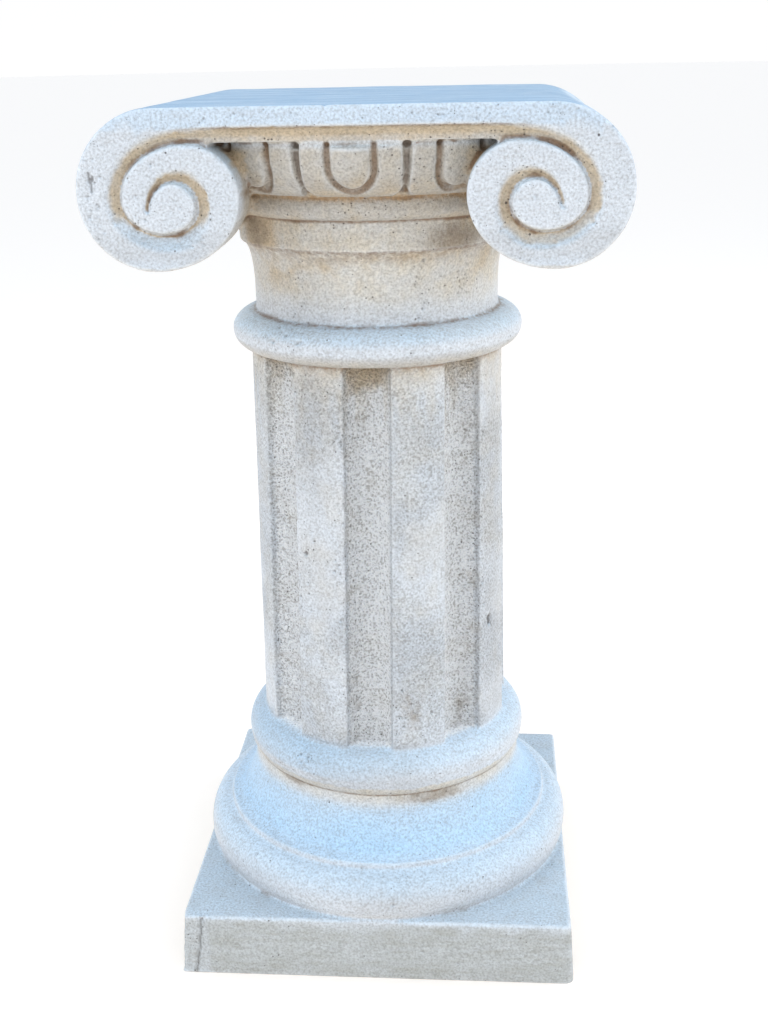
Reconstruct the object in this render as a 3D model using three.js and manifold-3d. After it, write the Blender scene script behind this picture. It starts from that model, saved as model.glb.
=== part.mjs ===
// Ionic column pedestal, cast in one piece.
// Millimetres, +Z up, front towards -Y, origin at the middle of the underside.
// The left volute stands further out than the right one, so the axis is a little right of the origin.

import * as THREE from 'three';
import { mergeVertices } from 'three/addons/utils/BufferGeometryUtils.js';
import Module from 'manifold-3d';

const wasm = await Module();
wasm.setup();

// Plinth
const PLINTH_SIDE = 280;
const PLINTH_HEIGHT = 47;
const PLINTH_DRAFT = 3;

// Base mouldings, from the plinth up
const LOWER_TORUS_OVERHANG = 1.5;
const LOWER_TORUS_HEIGHT = 32;
const LOWER_TORUS_MIDDLE_SHARE = 1 / 3;
const LOWER_TORUS_TUCK = 5;
const FILLET_SETBACK = 17.5;
const FILLET_HEIGHT = 5;
const SCOTIA_HEIGHT = 44;
const SCOTIA_TUCK = 4.5;
const UPPER_TORUS_HEIGHT = 31;
const UPPER_TORUS_MIDDLE_SHARE = 0.4;
const UPPER_TORUS_PROJECTION = 13;
const UPPER_TORUS_CREST_RISE = 2.5;

// Shaft and its flutes
const SHAFT_HEIGHT = 281;
const SHAFT_FOOT_RADIUS = 94;
const SHAFT_TOP_RADIUS = 90;
const FLUTE_COUNT = 8;
const FLUTE_DEPTH = 14;
const FLUTE_SHARE = 0.45;
const FLUTE_FOOT_TURN_DEGREES = -3;
const FLUTE_TOP_TURN_DEGREES = -0.5;

// Ring, neck and neck band
const RING_HEIGHT = 26;
const RING_PROJECTION = 12.6;
const NECK_SETBACK = 4.5;
const NECK_STRAIGHT_HEIGHT = 17;
const NECK_FLARE_HEIGHT = 31;
const NECK_FLARE = 7.5;
const NECK_LIP = 1.5;
const NECK_LIP_HEIGHT = 3;
const NECK_BAND_HEIGHT = 18;

// Astragal and echinus under the slab
const ASTRAGAL_HEIGHT = 16;
const ASTRAGAL_PROJECTION = 9;
const ECHINUS_HEIGHT = 35;
const ECHINUS_FOOT_PROJECTION = 10;
const ECHINUS_SETBACK = 7;
const ECHINUS_SHOULDER = 4;

// Eggs and darts
const EGG_COUNT = 12;
const EGG_TURN_DEGREES = -1.5;
const EGG_WIDTH = 29;
const EGG_HEIGHT = 31;
const EGG_SWELL = 2.5;
const EGG_GROOVE_WIDTH = 4.5;
const EGG_GROOVE_DEPTH = 3.5;
const DART_TOP_WIDTH = 5.6;
const DART_FOOT_WIDTH = 3;
const DART_DEPTH = 5;

// Slab and volute block
const CAPITAL_DEPTH = 278;
const SLAB_THICKNESS = 22;
const EYE_OFFSET = 106.7;
const LEFT_VOLUTE_EXTRA = 4.3;
const EYE_BELOW_SLAB_TOP = 59;
const RIM_WIDTH = 40;
const RIM_STEP = 2.5;
const BOLSTER_WAIST = 2;
const FACE_EDGE = 1.5;
const BAND_WIDTH = 12.5;
const CHANNEL_DEPTH = 6;
const CHANNEL_MIDDLE_DEPTH = 10;
const CHANNEL_MIDDLE_SETBACK = 5;
const CHANNEL_END_DEPTH = 4;
const CHANNEL_WALL_SHARE = 0.1;
const CHANNEL_HOLLOW_SHARE = 0.45;
const CHANNEL_HOLLOW_DEPTH_SHARE = 0.75;
const CHANNEL_MIDDLE_HOLLOW_SHARE = 0.95;

// Volute scroll as quarter turns, each from one outermost point to the next.
// Each point is x and z from the eye, starting at the slab and winding in.
const SCROLL_TURNS = [[8, EYE_BELOW_SLAB_TOP], [57.8, 9], [10.8, -38], [-41.7, 6], [-10.7, 37.2]];
const INNER_TURNS = [[-10.7, 37.2], [29.8, 6], [5.3, -14.7], [-14.7, 1], [-0.7, 14.8], [13.6, -2]];
const SCROLL_JOIN = 0.85;
const BAND_TOP = EYE_BELOW_SLAB_TOP - BAND_WIDTH;
const BAND_TURNS = [[-13.7, BAND_TOP], [40.8, 6], [1.3, -26], [-25.7, 1], [-6.7, 23], [16.5, -0.5]];

// Smoothness of the round forms
const ROUND_STEPS = 48;
const MOULDING_STEPS = 4;
const SHORT_CURVE_STEPS = 3;
const FLUTE_STEPS = 22;
const SCROLL_STEPS = 8;
const CHANNEL_STEPS = 6;
const GROOVE_STEPS = 12;
const EGG_STEPS = 12;

// A cut starts a little outside the surface, and joined solids run a little into each other.
// Corners nearer than the tolerance are one corner.
const CLEAR = 1;
const OVERLAP = 3;
const CORNER_TOLERANCE = 1e-4;

// Heights, from the underside up
const LOWER_TORUS_TOP = PLINTH_HEIGHT + LOWER_TORUS_HEIGHT;
const SCOTIA_FOOT = LOWER_TORUS_TOP + FILLET_HEIGHT;
const SCOTIA_TOP = SCOTIA_FOOT + SCOTIA_HEIGHT;
const SHAFT_FOOT = SCOTIA_TOP + UPPER_TORUS_HEIGHT;
const SHAFT_TOP = SHAFT_FOOT + SHAFT_HEIGHT;
const NECK_FOOT = SHAFT_TOP + RING_HEIGHT;
const NECK_FLARE_FOOT = NECK_FOOT + NECK_STRAIGHT_HEIGHT;
const NECK_LIP_FOOT = NECK_FLARE_FOOT + NECK_FLARE_HEIGHT;
const NECK_BAND_FOOT = NECK_LIP_FOOT + NECK_LIP_HEIGHT;
const ASTRAGAL_FOOT = NECK_BAND_FOOT + NECK_BAND_HEIGHT;
const ECHINUS_FOOT = ASTRAGAL_FOOT + ASTRAGAL_HEIGHT;
const SLAB_FOOT = ECHINUS_FOOT + ECHINUS_HEIGHT;
const SLAB_TOP = SLAB_FOOT + SLAB_THICKNESS;
const EYE_HEIGHT = SLAB_TOP - EYE_BELOW_SLAB_TOP;

// Radii, each from what carries it
const FRONT = CAPITAL_DEPTH / 2;
const LOWER_TORUS_RADIUS = PLINTH_SIDE / 2 + LOWER_TORUS_OVERHANG;
const FILLET_RADIUS = LOWER_TORUS_RADIUS - FILLET_SETBACK;
const UPPER_TORUS_RADIUS = SHAFT_FOOT_RADIUS + UPPER_TORUS_PROJECTION;
const SCOTIA_TOP_RADIUS = UPPER_TORUS_RADIUS - SCOTIA_TUCK;
const RING_RADIUS = SHAFT_TOP_RADIUS + RING_PROJECTION;
const NECK_RADIUS = SHAFT_TOP_RADIUS - NECK_SETBACK;
const NECK_FLARE_RADIUS = NECK_RADIUS + NECK_FLARE;
const NECK_BAND_RADIUS = NECK_FLARE_RADIUS + NECK_LIP;
const ASTRAGAL_RADIUS = NECK_BAND_RADIUS + ASTRAGAL_PROJECTION;
const ECHINUS_FOOT_RADIUS = NECK_BAND_RADIUS + ECHINUS_FOOT_PROJECTION;
const ECHINUS_RADIUS = FRONT - ECHINUS_SETBACK;

// Angles
const FLUTE_FOOT_TURN = THREE.MathUtils.degToRad(FLUTE_FOOT_TURN_DEGREES);
const FLUTE_TOP_TURN = THREE.MathUtils.degToRad(FLUTE_TOP_TURN_DEGREES);
const FLUTE_STEP = 2 * Math.PI / FLUTE_COUNT;
const FLUTE_HALF_ANGLE = FLUTE_STEP * FLUTE_SHARE / 2;
const EGG_TURN = THREE.MathUtils.degToRad(EGG_TURN_DEGREES);
const EGG_STEP = 2 * Math.PI / EGG_COUNT;

// Points of a quarter ellipse from one point to another, without the first point.
// It sets out across (along the first coordinate) or else upright, and arrives square to that.
function quarterTurn(from, to, across, steps, share = 1) {
  const points = [];
  for (let i = 1; i <= steps; i += 1) {
    const angle = share * (Math.PI / 2) * i / steps;
    const early = Math.sin(angle);
    const late = 1 - Math.cos(angle);
    points.push([
      from[0] + (to[0] - from[0]) * (across ? early : late),
      from[1] + (to[1] - from[1]) * (across ? late : early),
    ]);
  }
  return points;
}

// A run of quarter turns that starts across and turns square at each given point
function windingTurns(turns, steps) {
  const points = [turns[0]];
  for (let i = 1; i < turns.length; i += 1) {
    points.push(...quarterTurn(turns[i - 1], turns[i], i % 2 === 1, steps));
  }
  return points;
}

// Volume enclosed by the triangles, negative when they face inward
function signedVolume(position, index) {
  const a = new THREE.Vector3();
  const b = new THREE.Vector3();
  const c = new THREE.Vector3();
  let sum = 0;
  for (let i = 0; i < index.length; i += 3) {
    a.fromBufferAttribute(position, index[i]);
    b.fromBufferAttribute(position, index[i + 1]);
    c.fromBufferAttribute(position, index[i + 2]);
    sum += a.dot(b.cross(c)) / 6;
  }
  return sum;
}

// Turns a closed geometry into a solid that can be joined and cut
function toSolid(geometry) {
  const bare = geometry.clone();
  bare.deleteAttribute('normal');
  bare.deleteAttribute('uv');
  const merged = mergeVertices(bare, CORNER_TOLERANCE);
  const corners = Array.from(merged.index.array);
  const faces = [];
  for (let i = 0; i < corners.length; i += 3) {
    const [a, b, c] = corners.slice(i, i + 3);
    if (a !== b && b !== c && c !== a) faces.push([a, b, c]);
  }
  const position = merged.getAttribute('position');
  const inward = signedVolume(position, faces.flat()) < 0;
  const triVerts = Uint32Array.from(faces.flatMap(([a, b, c]) => (inward ? [a, c, b] : [a, b, c])));
  return new wasm.Manifold(new wasm.Mesh({ numProp: 3, vertProperties: position.array, triVerts }));
}

// Closed solid through a row of rings with equal numbers of points, capped flat at both ends
function loft(rings, flatten) {
  const count = rings[0].length;
  const index = [];
  for (let ring = 0; ring < rings.length - 1; ring += 1) {
    for (let i = 0; i < count; i += 1) {
      const here = ring * count + i;
      const beside = ring * count + (i + 1) % count;
      index.push(here, beside, here + count);
      index.push(beside, beside + count, here + count);
    }
  }
  const contour = rings[0].map(flatten);
  const turn = Math.sign(THREE.ShapeUtils.area(contour));
  const last = (rings.length - 1) * count;
  for (const face of THREE.ShapeUtils.triangulateShape(contour, [])) {
    const faceTurn = Math.sign(THREE.ShapeUtils.area(face.map((corner) => contour[corner])));
    const [a, b, c] = faceTurn === turn ? face : [face[0], face[2], face[1]];
    index.push(a, c, b);
    index.push(last + a, last + b, last + c);
  }
  const geometry = new THREE.BufferGeometry();
  geometry.setFromPoints(rings.flat());
  geometry.setIndex(index);
  return geometry;
}

// Solid of revolution about the upright axis from a profile of radius and height pairs
function turned(profile) {
  const points = profile.map(([radius, height]) => new THREE.Vector2(radius, height));
  return new THREE.LatheGeometry(points, ROUND_STEPS).rotateX(Math.PI / 2);
}

// Direction away from the axis, at an angle from the front
function outward(angle) {
  return new THREE.Vector3(Math.sin(angle), -Math.cos(angle), 0);
}

// Square plinth, a little wider at its foot
function plinth() {
  const geometry = new THREE.BoxGeometry(PLINTH_SIDE, PLINTH_SIDE, PLINTH_HEIGHT);
  const position = geometry.getAttribute('position');
  const footScale = (PLINTH_SIDE + 2 * PLINTH_DRAFT) / PLINTH_SIDE;
  for (let i = 0; i < position.count; i += 1) {
    if (position.getZ(i) < 0) {
      position.setXY(i, position.getX(i) * footScale, position.getY(i) * footScale);
    }
  }
  return geometry.translate(0, 0, PLINTH_HEIGHT / 2);
}

// Lower torus, fillet, scotia and upper torus
function baseMouldings() {
  const torusMiddle = PLINTH_HEIGHT + LOWER_TORUS_HEIGHT * LOWER_TORUS_MIDDLE_SHARE;
  const torusFoot = [LOWER_TORUS_RADIUS - LOWER_TORUS_TUCK, PLINTH_HEIGHT];
  const torusSide = [LOWER_TORUS_RADIUS, torusMiddle];
  const filletFoot = [FILLET_RADIUS, LOWER_TORUS_TOP];
  const filletTop = [FILLET_RADIUS, SCOTIA_FOOT];
  const scotiaTop = [SCOTIA_TOP_RADIUS, SCOTIA_TOP];
  const upperMiddle = SCOTIA_TOP + UPPER_TORUS_HEIGHT * UPPER_TORUS_MIDDLE_SHARE;
  const upperSide = [UPPER_TORUS_RADIUS, upperMiddle];
  const upperCrest = [SHAFT_FOOT_RADIUS - FLUTE_DEPTH, SHAFT_FOOT + UPPER_TORUS_CREST_RISE];
  return turned([
    [0, PLINTH_HEIGHT - OVERLAP],
    [torusFoot[0], PLINTH_HEIGHT - OVERLAP],
    torusFoot,
    ...quarterTurn(torusFoot, torusSide, true, SHORT_CURVE_STEPS),
    ...quarterTurn(torusSide, filletFoot, false, MOULDING_STEPS),
    filletTop,
    ...quarterTurn(filletTop, scotiaTop, true, MOULDING_STEPS + 1),
    ...quarterTurn(scotiaTop, upperSide, true, SHORT_CURVE_STEPS),
    ...quarterTurn(upperSide, upperCrest, false, MOULDING_STEPS + 1),
    [0, SHAFT_FOOT + UPPER_TORUS_CREST_RISE],
  ]);
}

// Tapered shaft without its flutes
function shaftCore() {
  return turned([
    [0, SHAFT_FOOT - OVERLAP],
    [SHAFT_FOOT_RADIUS, SHAFT_FOOT - OVERLAP],
    [SHAFT_TOP_RADIUS, SHAFT_TOP + OVERLAP],
    [0, SHAFT_TOP + OVERLAP],
  ]);
}

// Bar that cuts one flute, its round section set by the shaft's radius at that height
function fluteCutter(angle) {
  const section = (radius, turn, height) => {
    const halfWidth = radius * Math.sin(FLUTE_HALF_ANGLE);
    const sagitta = FLUTE_DEPTH - radius * (1 - Math.cos(FLUTE_HALF_ANGLE));
    const bar = (halfWidth ** 2 + sagitta ** 2) / (2 * sagitta);
    const centre = outward(turn).multiplyScalar(radius - FLUTE_DEPTH + bar).setZ(height);
    const ring = [];
    for (let i = 0; i < FLUTE_STEPS; i += 1) {
      ring.push(outward(turn + 2 * Math.PI * i / FLUTE_STEPS).multiplyScalar(bar).add(centre));
    }
    return ring;
  };
  const foot = section(SHAFT_FOOT_RADIUS, angle + FLUTE_FOOT_TURN, SHAFT_FOOT - OVERLAP - CLEAR);
  const top = section(SHAFT_TOP_RADIUS, angle + FLUTE_TOP_TURN, SHAFT_TOP + OVERLAP + CLEAR);
  return loft([foot, top], (point) => new THREE.Vector2(point.x, point.y));
}

// Radius of the echinus at a height, and the way its surface faces there
function echinusAt(angle, height) {
  const rise = Math.min(Math.max(height - ECHINUS_FOOT, 0), ECHINUS_HEIGHT - ECHINUS_SHOULDER);
  const along = Math.acos(1 - rise / (ECHINUS_HEIGHT - ECHINUS_SHOULDER));
  const swell = ECHINUS_RADIUS - ECHINUS_FOOT_RADIUS;
  const radius = ECHINUS_FOOT_RADIUS + swell * Math.sin(along);
  const point = outward(angle).multiplyScalar(radius).setZ(height);
  const facing = outward(angle).multiplyScalar((ECHINUS_HEIGHT - ECHINUS_SHOULDER) * Math.sin(along));
  facing.z = -swell * Math.cos(along);
  return { point, facing: facing.normalize() };
}

// Ring, neck, neck band, astragal and echinus
function neckMouldings() {
  const ringSide = [RING_RADIUS, SHAFT_TOP + RING_HEIGHT / 2];
  const ringFoot = [SHAFT_TOP_RADIUS, SHAFT_TOP];
  const neckFoot = [NECK_RADIUS, NECK_FOOT];
  const flareFoot = [NECK_RADIUS, NECK_FLARE_FOOT];
  const flareTop = [NECK_FLARE_RADIUS, NECK_LIP_FOOT];
  const astragalFoot = [NECK_BAND_RADIUS, ASTRAGAL_FOOT];
  const astragalSide = [ASTRAGAL_RADIUS, ASTRAGAL_FOOT + ASTRAGAL_HEIGHT / 2];
  const echinusFoot = [ECHINUS_FOOT_RADIUS - ECHINUS_SHOULDER, ECHINUS_FOOT];
  const ovoloFoot = [ECHINUS_FOOT_RADIUS, ECHINUS_FOOT];
  const ovoloTop = [ECHINUS_RADIUS, SLAB_FOOT - ECHINUS_SHOULDER];
  const shoulder = [ECHINUS_RADIUS - ECHINUS_SHOULDER, SLAB_FOOT];
  return turned([
    [0, SHAFT_TOP],
    ringFoot,
    ...quarterTurn(ringFoot, ringSide, true, MOULDING_STEPS),
    ...quarterTurn(ringSide, neckFoot, false, MOULDING_STEPS),
    ...quarterTurn(flareFoot, flareTop, false, MOULDING_STEPS - 1),
    [NECK_BAND_RADIUS, NECK_LIP_FOOT + NECK_LIP],
    astragalFoot,
    ...quarterTurn(astragalFoot, astragalSide, true, SHORT_CURVE_STEPS),
    ...quarterTurn(astragalSide, echinusFoot, false, SHORT_CURVE_STEPS),
    ovoloFoot,
    ...quarterTurn(ovoloFoot, ovoloTop, true, MOULDING_STEPS + 1),
    ...quarterTurn(ovoloTop, shoulder, false, SHORT_CURVE_STEPS),
    [ECHINUS_RADIUS - ECHINUS_SHOULDER, SLAB_FOOT + OVERLAP],
    [0, SLAB_FOOT + OVERLAP],
  ]);
}

// Three sided cutter that follows a path on a surface, as wide as given where it meets the surface
function grooveCutter(path, widthAt, depth) {
  const lift = EGG_SWELL + CLEAR;
  const rings = path.map(({ point, facing }, i) => {
    const before = path[Math.max(i - 1, 0)].point;
    const after = path[Math.min(i + 1, path.length - 1)].point;
    const side = after.clone().sub(before).normalize().cross(facing).normalize();
    const share = i / (path.length - 1);
    const rim = point.clone().addScaledVector(facing, lift);
    const halfWidth = widthAt(share) / 2 * (depth + lift) / depth;
    return [
      rim.clone().addScaledVector(side, halfWidth),
      rim.clone().addScaledVector(side, -halfWidth),
      point.clone().addScaledVector(facing, -depth),
    ];
  });
  const across = rings[0][1].clone().sub(rings[0][0]).normalize();
  const upright = path[0].facing;
  return loft(rings, (point) => new THREE.Vector2(point.dot(across), point.dot(upright)));
}

// Groove that runs down one side of an egg, round its foot and up the other side
function eggGroove(angle) {
  const halfTurn = EGG_WIDTH / 2 / ECHINUS_RADIUS;
  const foot = SLAB_FOOT - EGG_HEIGHT;
  const bend = foot + EGG_WIDTH / 2;
  const path = [echinusAt(angle - halfTurn, SLAB_FOOT + CLEAR)];
  for (let i = 0; i <= GROOVE_STEPS; i += 1) {
    const around = Math.PI * i / GROOVE_STEPS;
    const height = bend - (bend - foot) * Math.sin(around);
    path.push(echinusAt(angle - halfTurn * Math.cos(around), height));
  }
  path.push(echinusAt(angle + halfTurn, SLAB_FOOT + CLEAR));
  return grooveCutter(path, () => EGG_GROOVE_WIDTH, EGG_GROOVE_DEPTH);
}

// Tapering slot between two shells
function dartSlot(angle) {
  const path = [];
  for (let i = 0; i <= MOULDING_STEPS; i += 1) {
    const height = THREE.MathUtils.lerp(SLAB_FOOT + CLEAR, ECHINUS_FOOT + CLEAR, i / MOULDING_STEPS);
    path.push(echinusAt(angle, height));
  }
  const widthAt = (share) => THREE.MathUtils.lerp(DART_TOP_WIDTH, DART_FOOT_WIDTH, share);
  return grooveCutter(path, widthAt, DART_DEPTH);
}

// Swelling of one egg, sunk into the echinus
function egg(angle) {
  const halfWidth = EGG_WIDTH / 2 - EGG_GROOVE_WIDTH / 2;
  const halfHeight = EGG_HEIGHT - EGG_WIDTH / 2 - EGG_GROOVE_WIDTH / 2;
  const centre = echinusAt(angle, SLAB_FOOT - EGG_WIDTH / 2);
  const sunk = halfWidth;
  const geometry = new THREE.SphereGeometry(1, EGG_STEPS, EGG_STEPS / 2);
  geometry.rotateX(Math.PI / 2);
  geometry.scale(halfWidth, sunk + EGG_SWELL, halfHeight);
  const tilt = Math.asin(-centre.facing.z);
  geometry.rotateX(tilt);
  geometry.rotateZ(angle);
  const place = centre.point.clone().addScaledVector(centre.facing, -sunk);
  return geometry.translate(place.x, place.y, place.z);
}

// Front outline of the slab with a scroll at each end, drawn in by the given insets.
// The scroll meets the slab's underside short of its inner top, which leaves a narrow notch.
function voluteOutline(inset, topInset) {
  const [top, right, foot, left, innerTop] = SCROLL_TURNS;
  const turns = [
    [top[0], top[1] - topInset],
    [right[0] - inset, right[1]],
    [foot[0], foot[1] + inset],
    [left[0] + inset, left[1]],
  ];
  const scroll = windingTurns(turns, SCROLL_STEPS);
  scroll.push(...quarterTurn(turns[3], innerTop, false, SCROLL_STEPS, SCROLL_JOIN));
  const half = scroll.map(([x, z]) => [EYE_OFFSET + x, EYE_HEIGHT + z]);
  half.push([half[half.length - 1][0], SLAB_FOOT]);
  const otherHalf = half.map(([x, z]) => [-x - LEFT_VOLUTE_EXTRA, z]).reverse();
  return [...half, ...otherHalf];
}

// Slab and volutes from the front face to the back face, with the bolsters drawn in between
function voluteBlock() {
  const sections = [
    [-FRONT, FACE_EDGE, FACE_EDGE],
    [-FRONT + FACE_EDGE, 0, 0],
    [-FRONT + RIM_WIDTH, 0, 0],
    [-FRONT + RIM_WIDTH + RIM_STEP, RIM_STEP, 0],
    [0, RIM_STEP + BOLSTER_WAIST, 0],
  ];
  const behind = sections.slice(0, -1).map(([y, ...insets]) => [-y, ...insets]).reverse();
  const rings = [...sections, ...behind].map(([y, inset, topInset]) => (
    voluteOutline(inset, topInset).map(([x, z]) => new THREE.Vector3(x, y, z))
  ));
  return loft(rings, (point) => new THREE.Vector2(point.x, point.z));
}

// Cutter for the right half of the channel: straight from the middle, then winding in to the eye.
// Its floor is deepest beside the inner coil and rises in a hollow curve to the band.
// Over the eggs it is deeper and open below, and over the last quarter turn it gets shallower.
function channelCutter() {
  const place = ([x, z]) => [EYE_OFFSET + x, EYE_HEIGHT + z];
  const bandSide = windingTurns(BAND_TURNS, CHANNEL_STEPS).map(place);
  const coilSide = windingTurns(INNER_TURNS, CHANNEL_STEPS).map(place);
  const middleStart = -LEFT_VOLUTE_EXTRA - CLEAR;
  const middleEnd = EYE_OFFSET + SCROLL_TURNS[3][0] - CHANNEL_MIDDLE_SETBACK;
  bandSide.unshift([middleStart, bandSide[0][1]], [middleEnd, bandSide[0][1]]);
  coilSide.unshift([middleStart, SLAB_FOOT - OVERLAP], [middleEnd, SLAB_FOOT - OVERLAP]);
  const fadeFrom = bandSide.length - CHANNEL_STEPS;
  const rings = bandSide.map((band, i) => {
    const coil = coilSide[i];
    const fade = Math.max(i - fadeFrom, 0) / CHANNEL_STEPS;
    const overEggs = band[0] <= middleEnd;
    const depth = overEggs
      ? CHANNEL_MIDDLE_DEPTH
      : THREE.MathUtils.lerp(CHANNEL_DEPTH, CHANNEL_END_DEPTH, fade);
    const hollowShare = overEggs ? CHANNEL_MIDDLE_HOLLOW_SHARE : CHANNEL_HOLLOW_DEPTH_SHARE;
    const at = (share, sunk) => new THREE.Vector3(
      THREE.MathUtils.lerp(coil[0], band[0], share),
      -FRONT + sunk,
      THREE.MathUtils.lerp(coil[1], band[1], share),
    );
    return [
      at(0, -CLEAR),
      at(0, 0),
      at(CHANNEL_WALL_SHARE, depth),
      at(CHANNEL_HOLLOW_SHARE, depth * hollowShare),
      at(1, 0),
      at(1, -CLEAR),
    ];
  });
  return loft(rings, (point) => new THREE.Vector2(point.z, point.y));
}

// The same form facing the back
function toBack(geometry) {
  return geometry.clone().scale(1, -1, 1);
}

// The same form on the left volute
function toLeft(geometry) {
  return geometry.clone().scale(-1, 1, 1).translate(-LEFT_VOLUTE_EXTRA, 0, 0);
}

// Shaft with its flutes cut
function flutedShaft() {
  let shaft = toSolid(shaftCore());
  for (let i = 0; i < FLUTE_COUNT; i += 1) {
    shaft = shaft.subtract(toSolid(fluteCutter(i * FLUTE_STEP)));
  }
  return shaft;
}

// Neck mouldings with the eggs and darts that show between the volutes, front and back
function carvedNeck() {
  let neck = toSolid(neckMouldings());
  for (const face of [0, Math.PI]) {
    for (const place of [-1, 0, 1]) {
      const angle = face + EGG_TURN + place * EGG_STEP;
      neck = neck.add(toSolid(egg(angle))).subtract(toSolid(eggGroove(angle)));
    }
    for (const place of [-1 / 2, 1 / 2]) {
      neck = neck.subtract(toSolid(dartSlot(face + EGG_TURN + place * EGG_STEP)));
    }
  }
  return neck;
}

// Slab and volutes with the channels cut, front and back
function carvedVolutes() {
  const channel = channelCutter();
  let block = toSolid(voluteBlock());
  for (const half of [channel, toLeft(channel)]) {
    block = block.subtract(toSolid(half)).subtract(toSolid(toBack(half)));
  }
  return block;
}

// Mesh geometry of a finished solid
function toGeometry(solid) {
  const { vertProperties, triVerts } = solid.getMesh();
  const geometry = new THREE.BufferGeometry();
  geometry.setAttribute('position', new THREE.BufferAttribute(vertProperties, 3));
  geometry.setIndex(new THREE.BufferAttribute(triVerts, 1));
  geometry.computeVertexNormals();
  return geometry;
}

const pedestalSolid = toSolid(plinth())
  .add(toSolid(baseMouldings()))
  .add(flutedShaft())
  .add(carvedNeck())
  .add(carvedVolutes());

const castStone = new THREE.MeshStandardMaterial({ color: 0xd8d2c6, roughness: 0.85, metalness: 0 });
const pedestal = new THREE.Mesh(toGeometry(pedestalSolid), castStone);
pedestal.name = 'pedestal';

const columnPedestal = new THREE.Group();
columnPedestal.add(pedestal);
columnPedestal.position.x = LEFT_VOLUTE_EXTRA / 2;

export default columnPedestal;
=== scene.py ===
import functools
import itertools
import math

import bmesh
import bpy
import numpy as np
from mathutils import Matrix, Vector
from mathutils.kdtree import KDTree


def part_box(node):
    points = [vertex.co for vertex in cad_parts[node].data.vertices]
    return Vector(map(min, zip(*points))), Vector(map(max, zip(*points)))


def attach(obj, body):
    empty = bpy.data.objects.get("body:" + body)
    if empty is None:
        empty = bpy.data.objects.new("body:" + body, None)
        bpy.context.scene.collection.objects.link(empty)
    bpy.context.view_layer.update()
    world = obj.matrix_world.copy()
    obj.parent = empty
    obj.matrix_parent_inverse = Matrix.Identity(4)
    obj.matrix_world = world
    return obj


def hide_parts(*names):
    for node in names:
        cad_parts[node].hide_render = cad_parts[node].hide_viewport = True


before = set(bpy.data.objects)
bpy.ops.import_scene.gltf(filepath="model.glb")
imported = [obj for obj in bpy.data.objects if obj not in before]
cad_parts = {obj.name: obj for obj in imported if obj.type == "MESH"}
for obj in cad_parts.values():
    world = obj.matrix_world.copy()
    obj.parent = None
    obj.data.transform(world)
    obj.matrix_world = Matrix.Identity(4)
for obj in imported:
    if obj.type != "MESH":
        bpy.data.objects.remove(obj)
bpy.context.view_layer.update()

# Lengths are millimetres from the column's axis up to the finished mesh, then metres in the frame.
# The left volute stands further out than the right one, so the axis is a little right of the origin.
MM = 0.001
LEFT_VOLUTE_EXTRA = 4.3
AXIS_SHIFT = np.array([LEFT_VOLUTE_EXTRA / 2, 0, 0])
low_corner, high_corner = (np.array(corner) / MM - AXIS_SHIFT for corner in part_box("pedestal"))
WIDTH, DEPTH, SLAB_TOP = high_corner - [low_corner[0], low_corner[1], 0]

# Plinth
PLINTH_DRAFT = 3
PLINTH_SIDE = DEPTH - 2 * PLINTH_DRAFT
PLINTH_HEIGHT = 47

# Base mouldings
LOWER_TORUS_RADIUS = PLINTH_SIDE / 2 + 1.5
LOWER_TORUS_HEIGHT = 32
LOWER_TORUS_TUCK = 5
LOWER_TORUS_MIDDLE_SHARE = 1 / 3
FILLET_RADIUS = LOWER_TORUS_RADIUS - 17.5
FILLET_HEIGHT = 5
SCOTIA_HEIGHT = 44
SCOTIA_TOP_RADIUS = 102.5
UPPER_TORUS_RADIUS = 107
UPPER_TORUS_HEIGHT = 31
UPPER_TORUS_MIDDLE_SHARE = 0.4
UPPER_TORUS_CREST_RISE = 2.5

# Shaft and flutes
SHAFT_FOOT_RADIUS = 94
SHAFT_TOP_RADIUS = 90
FLUTE_COUNT = 8
FLUTE_DEPTH = 14
FLUTE_SHARE = 0.45
FLUTE_FOOT_TURN = math.radians(-3)
FLUTE_TOP_TURN = math.radians(-0.5)

# Ring, neck and neck band
RING_RADIUS = 102.6
RING_HEIGHT = 26
NECK_RADIUS = 85.5
NECK_STRAIGHT_HEIGHT = 17
NECK_FLARE_RADIUS = 93
NECK_FLARE_HEIGHT = 31
NECK_LIP = 1.5
NECK_LIP_HEIGHT = 3
NECK_BAND_RADIUS = NECK_FLARE_RADIUS + NECK_LIP
NECK_BAND_HEIGHT = 18

# Astragal and echinus
ASTRAGAL_RADIUS = 103.5
ASTRAGAL_HEIGHT = 16
ECHINUS_FOOT_RADIUS = 104.5
ECHINUS_RADIUS = 132
ECHINUS_HEIGHT = 35
ECHINUS_SHOULDER = 4

# Eggs and darts
EGG_COUNT = 12
EGG_TURN = math.radians(-1.5)
EGG_WIDTH = 29
EGG_HEIGHT = 31
EGG_SWELL = 2.5
EGG_GROOVE_WIDTH = 4.5
EGG_GROOVE_DEPTH = 4.5
DART_TOP_WIDTH = 6
DART_FOOT_WIDTH = 3
DART_FLARE = 4
DART_FLARE_FROM = 0.86
DART_DEPTH = 5
DART_WALL = 1.2

# Slab and volutes
FRONT = 139
SLAB_THICKNESS = 22
SCROLL_REACH = 57.8
EYE_OFFSET = WIDTH / 2 - SCROLL_REACH - AXIS_SHIFT[0]
EYE_BELOW_SLAB_TOP = 59
RIM_WIDTH = 40
RIM_STEP = 2.5
RIM_STEP_RUN = 3
BOLSTER_WAIST = 2
FACE_EDGE = 2
BAND_WIDTH = 12.5
CHANNEL_DEPTH = 6
CHANNEL_MIDDLE_DEPTH = 10
CHANNEL_MIDDLE_SETBACK = 5
CHANNEL_END_DEPTH = 4.5

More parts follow.
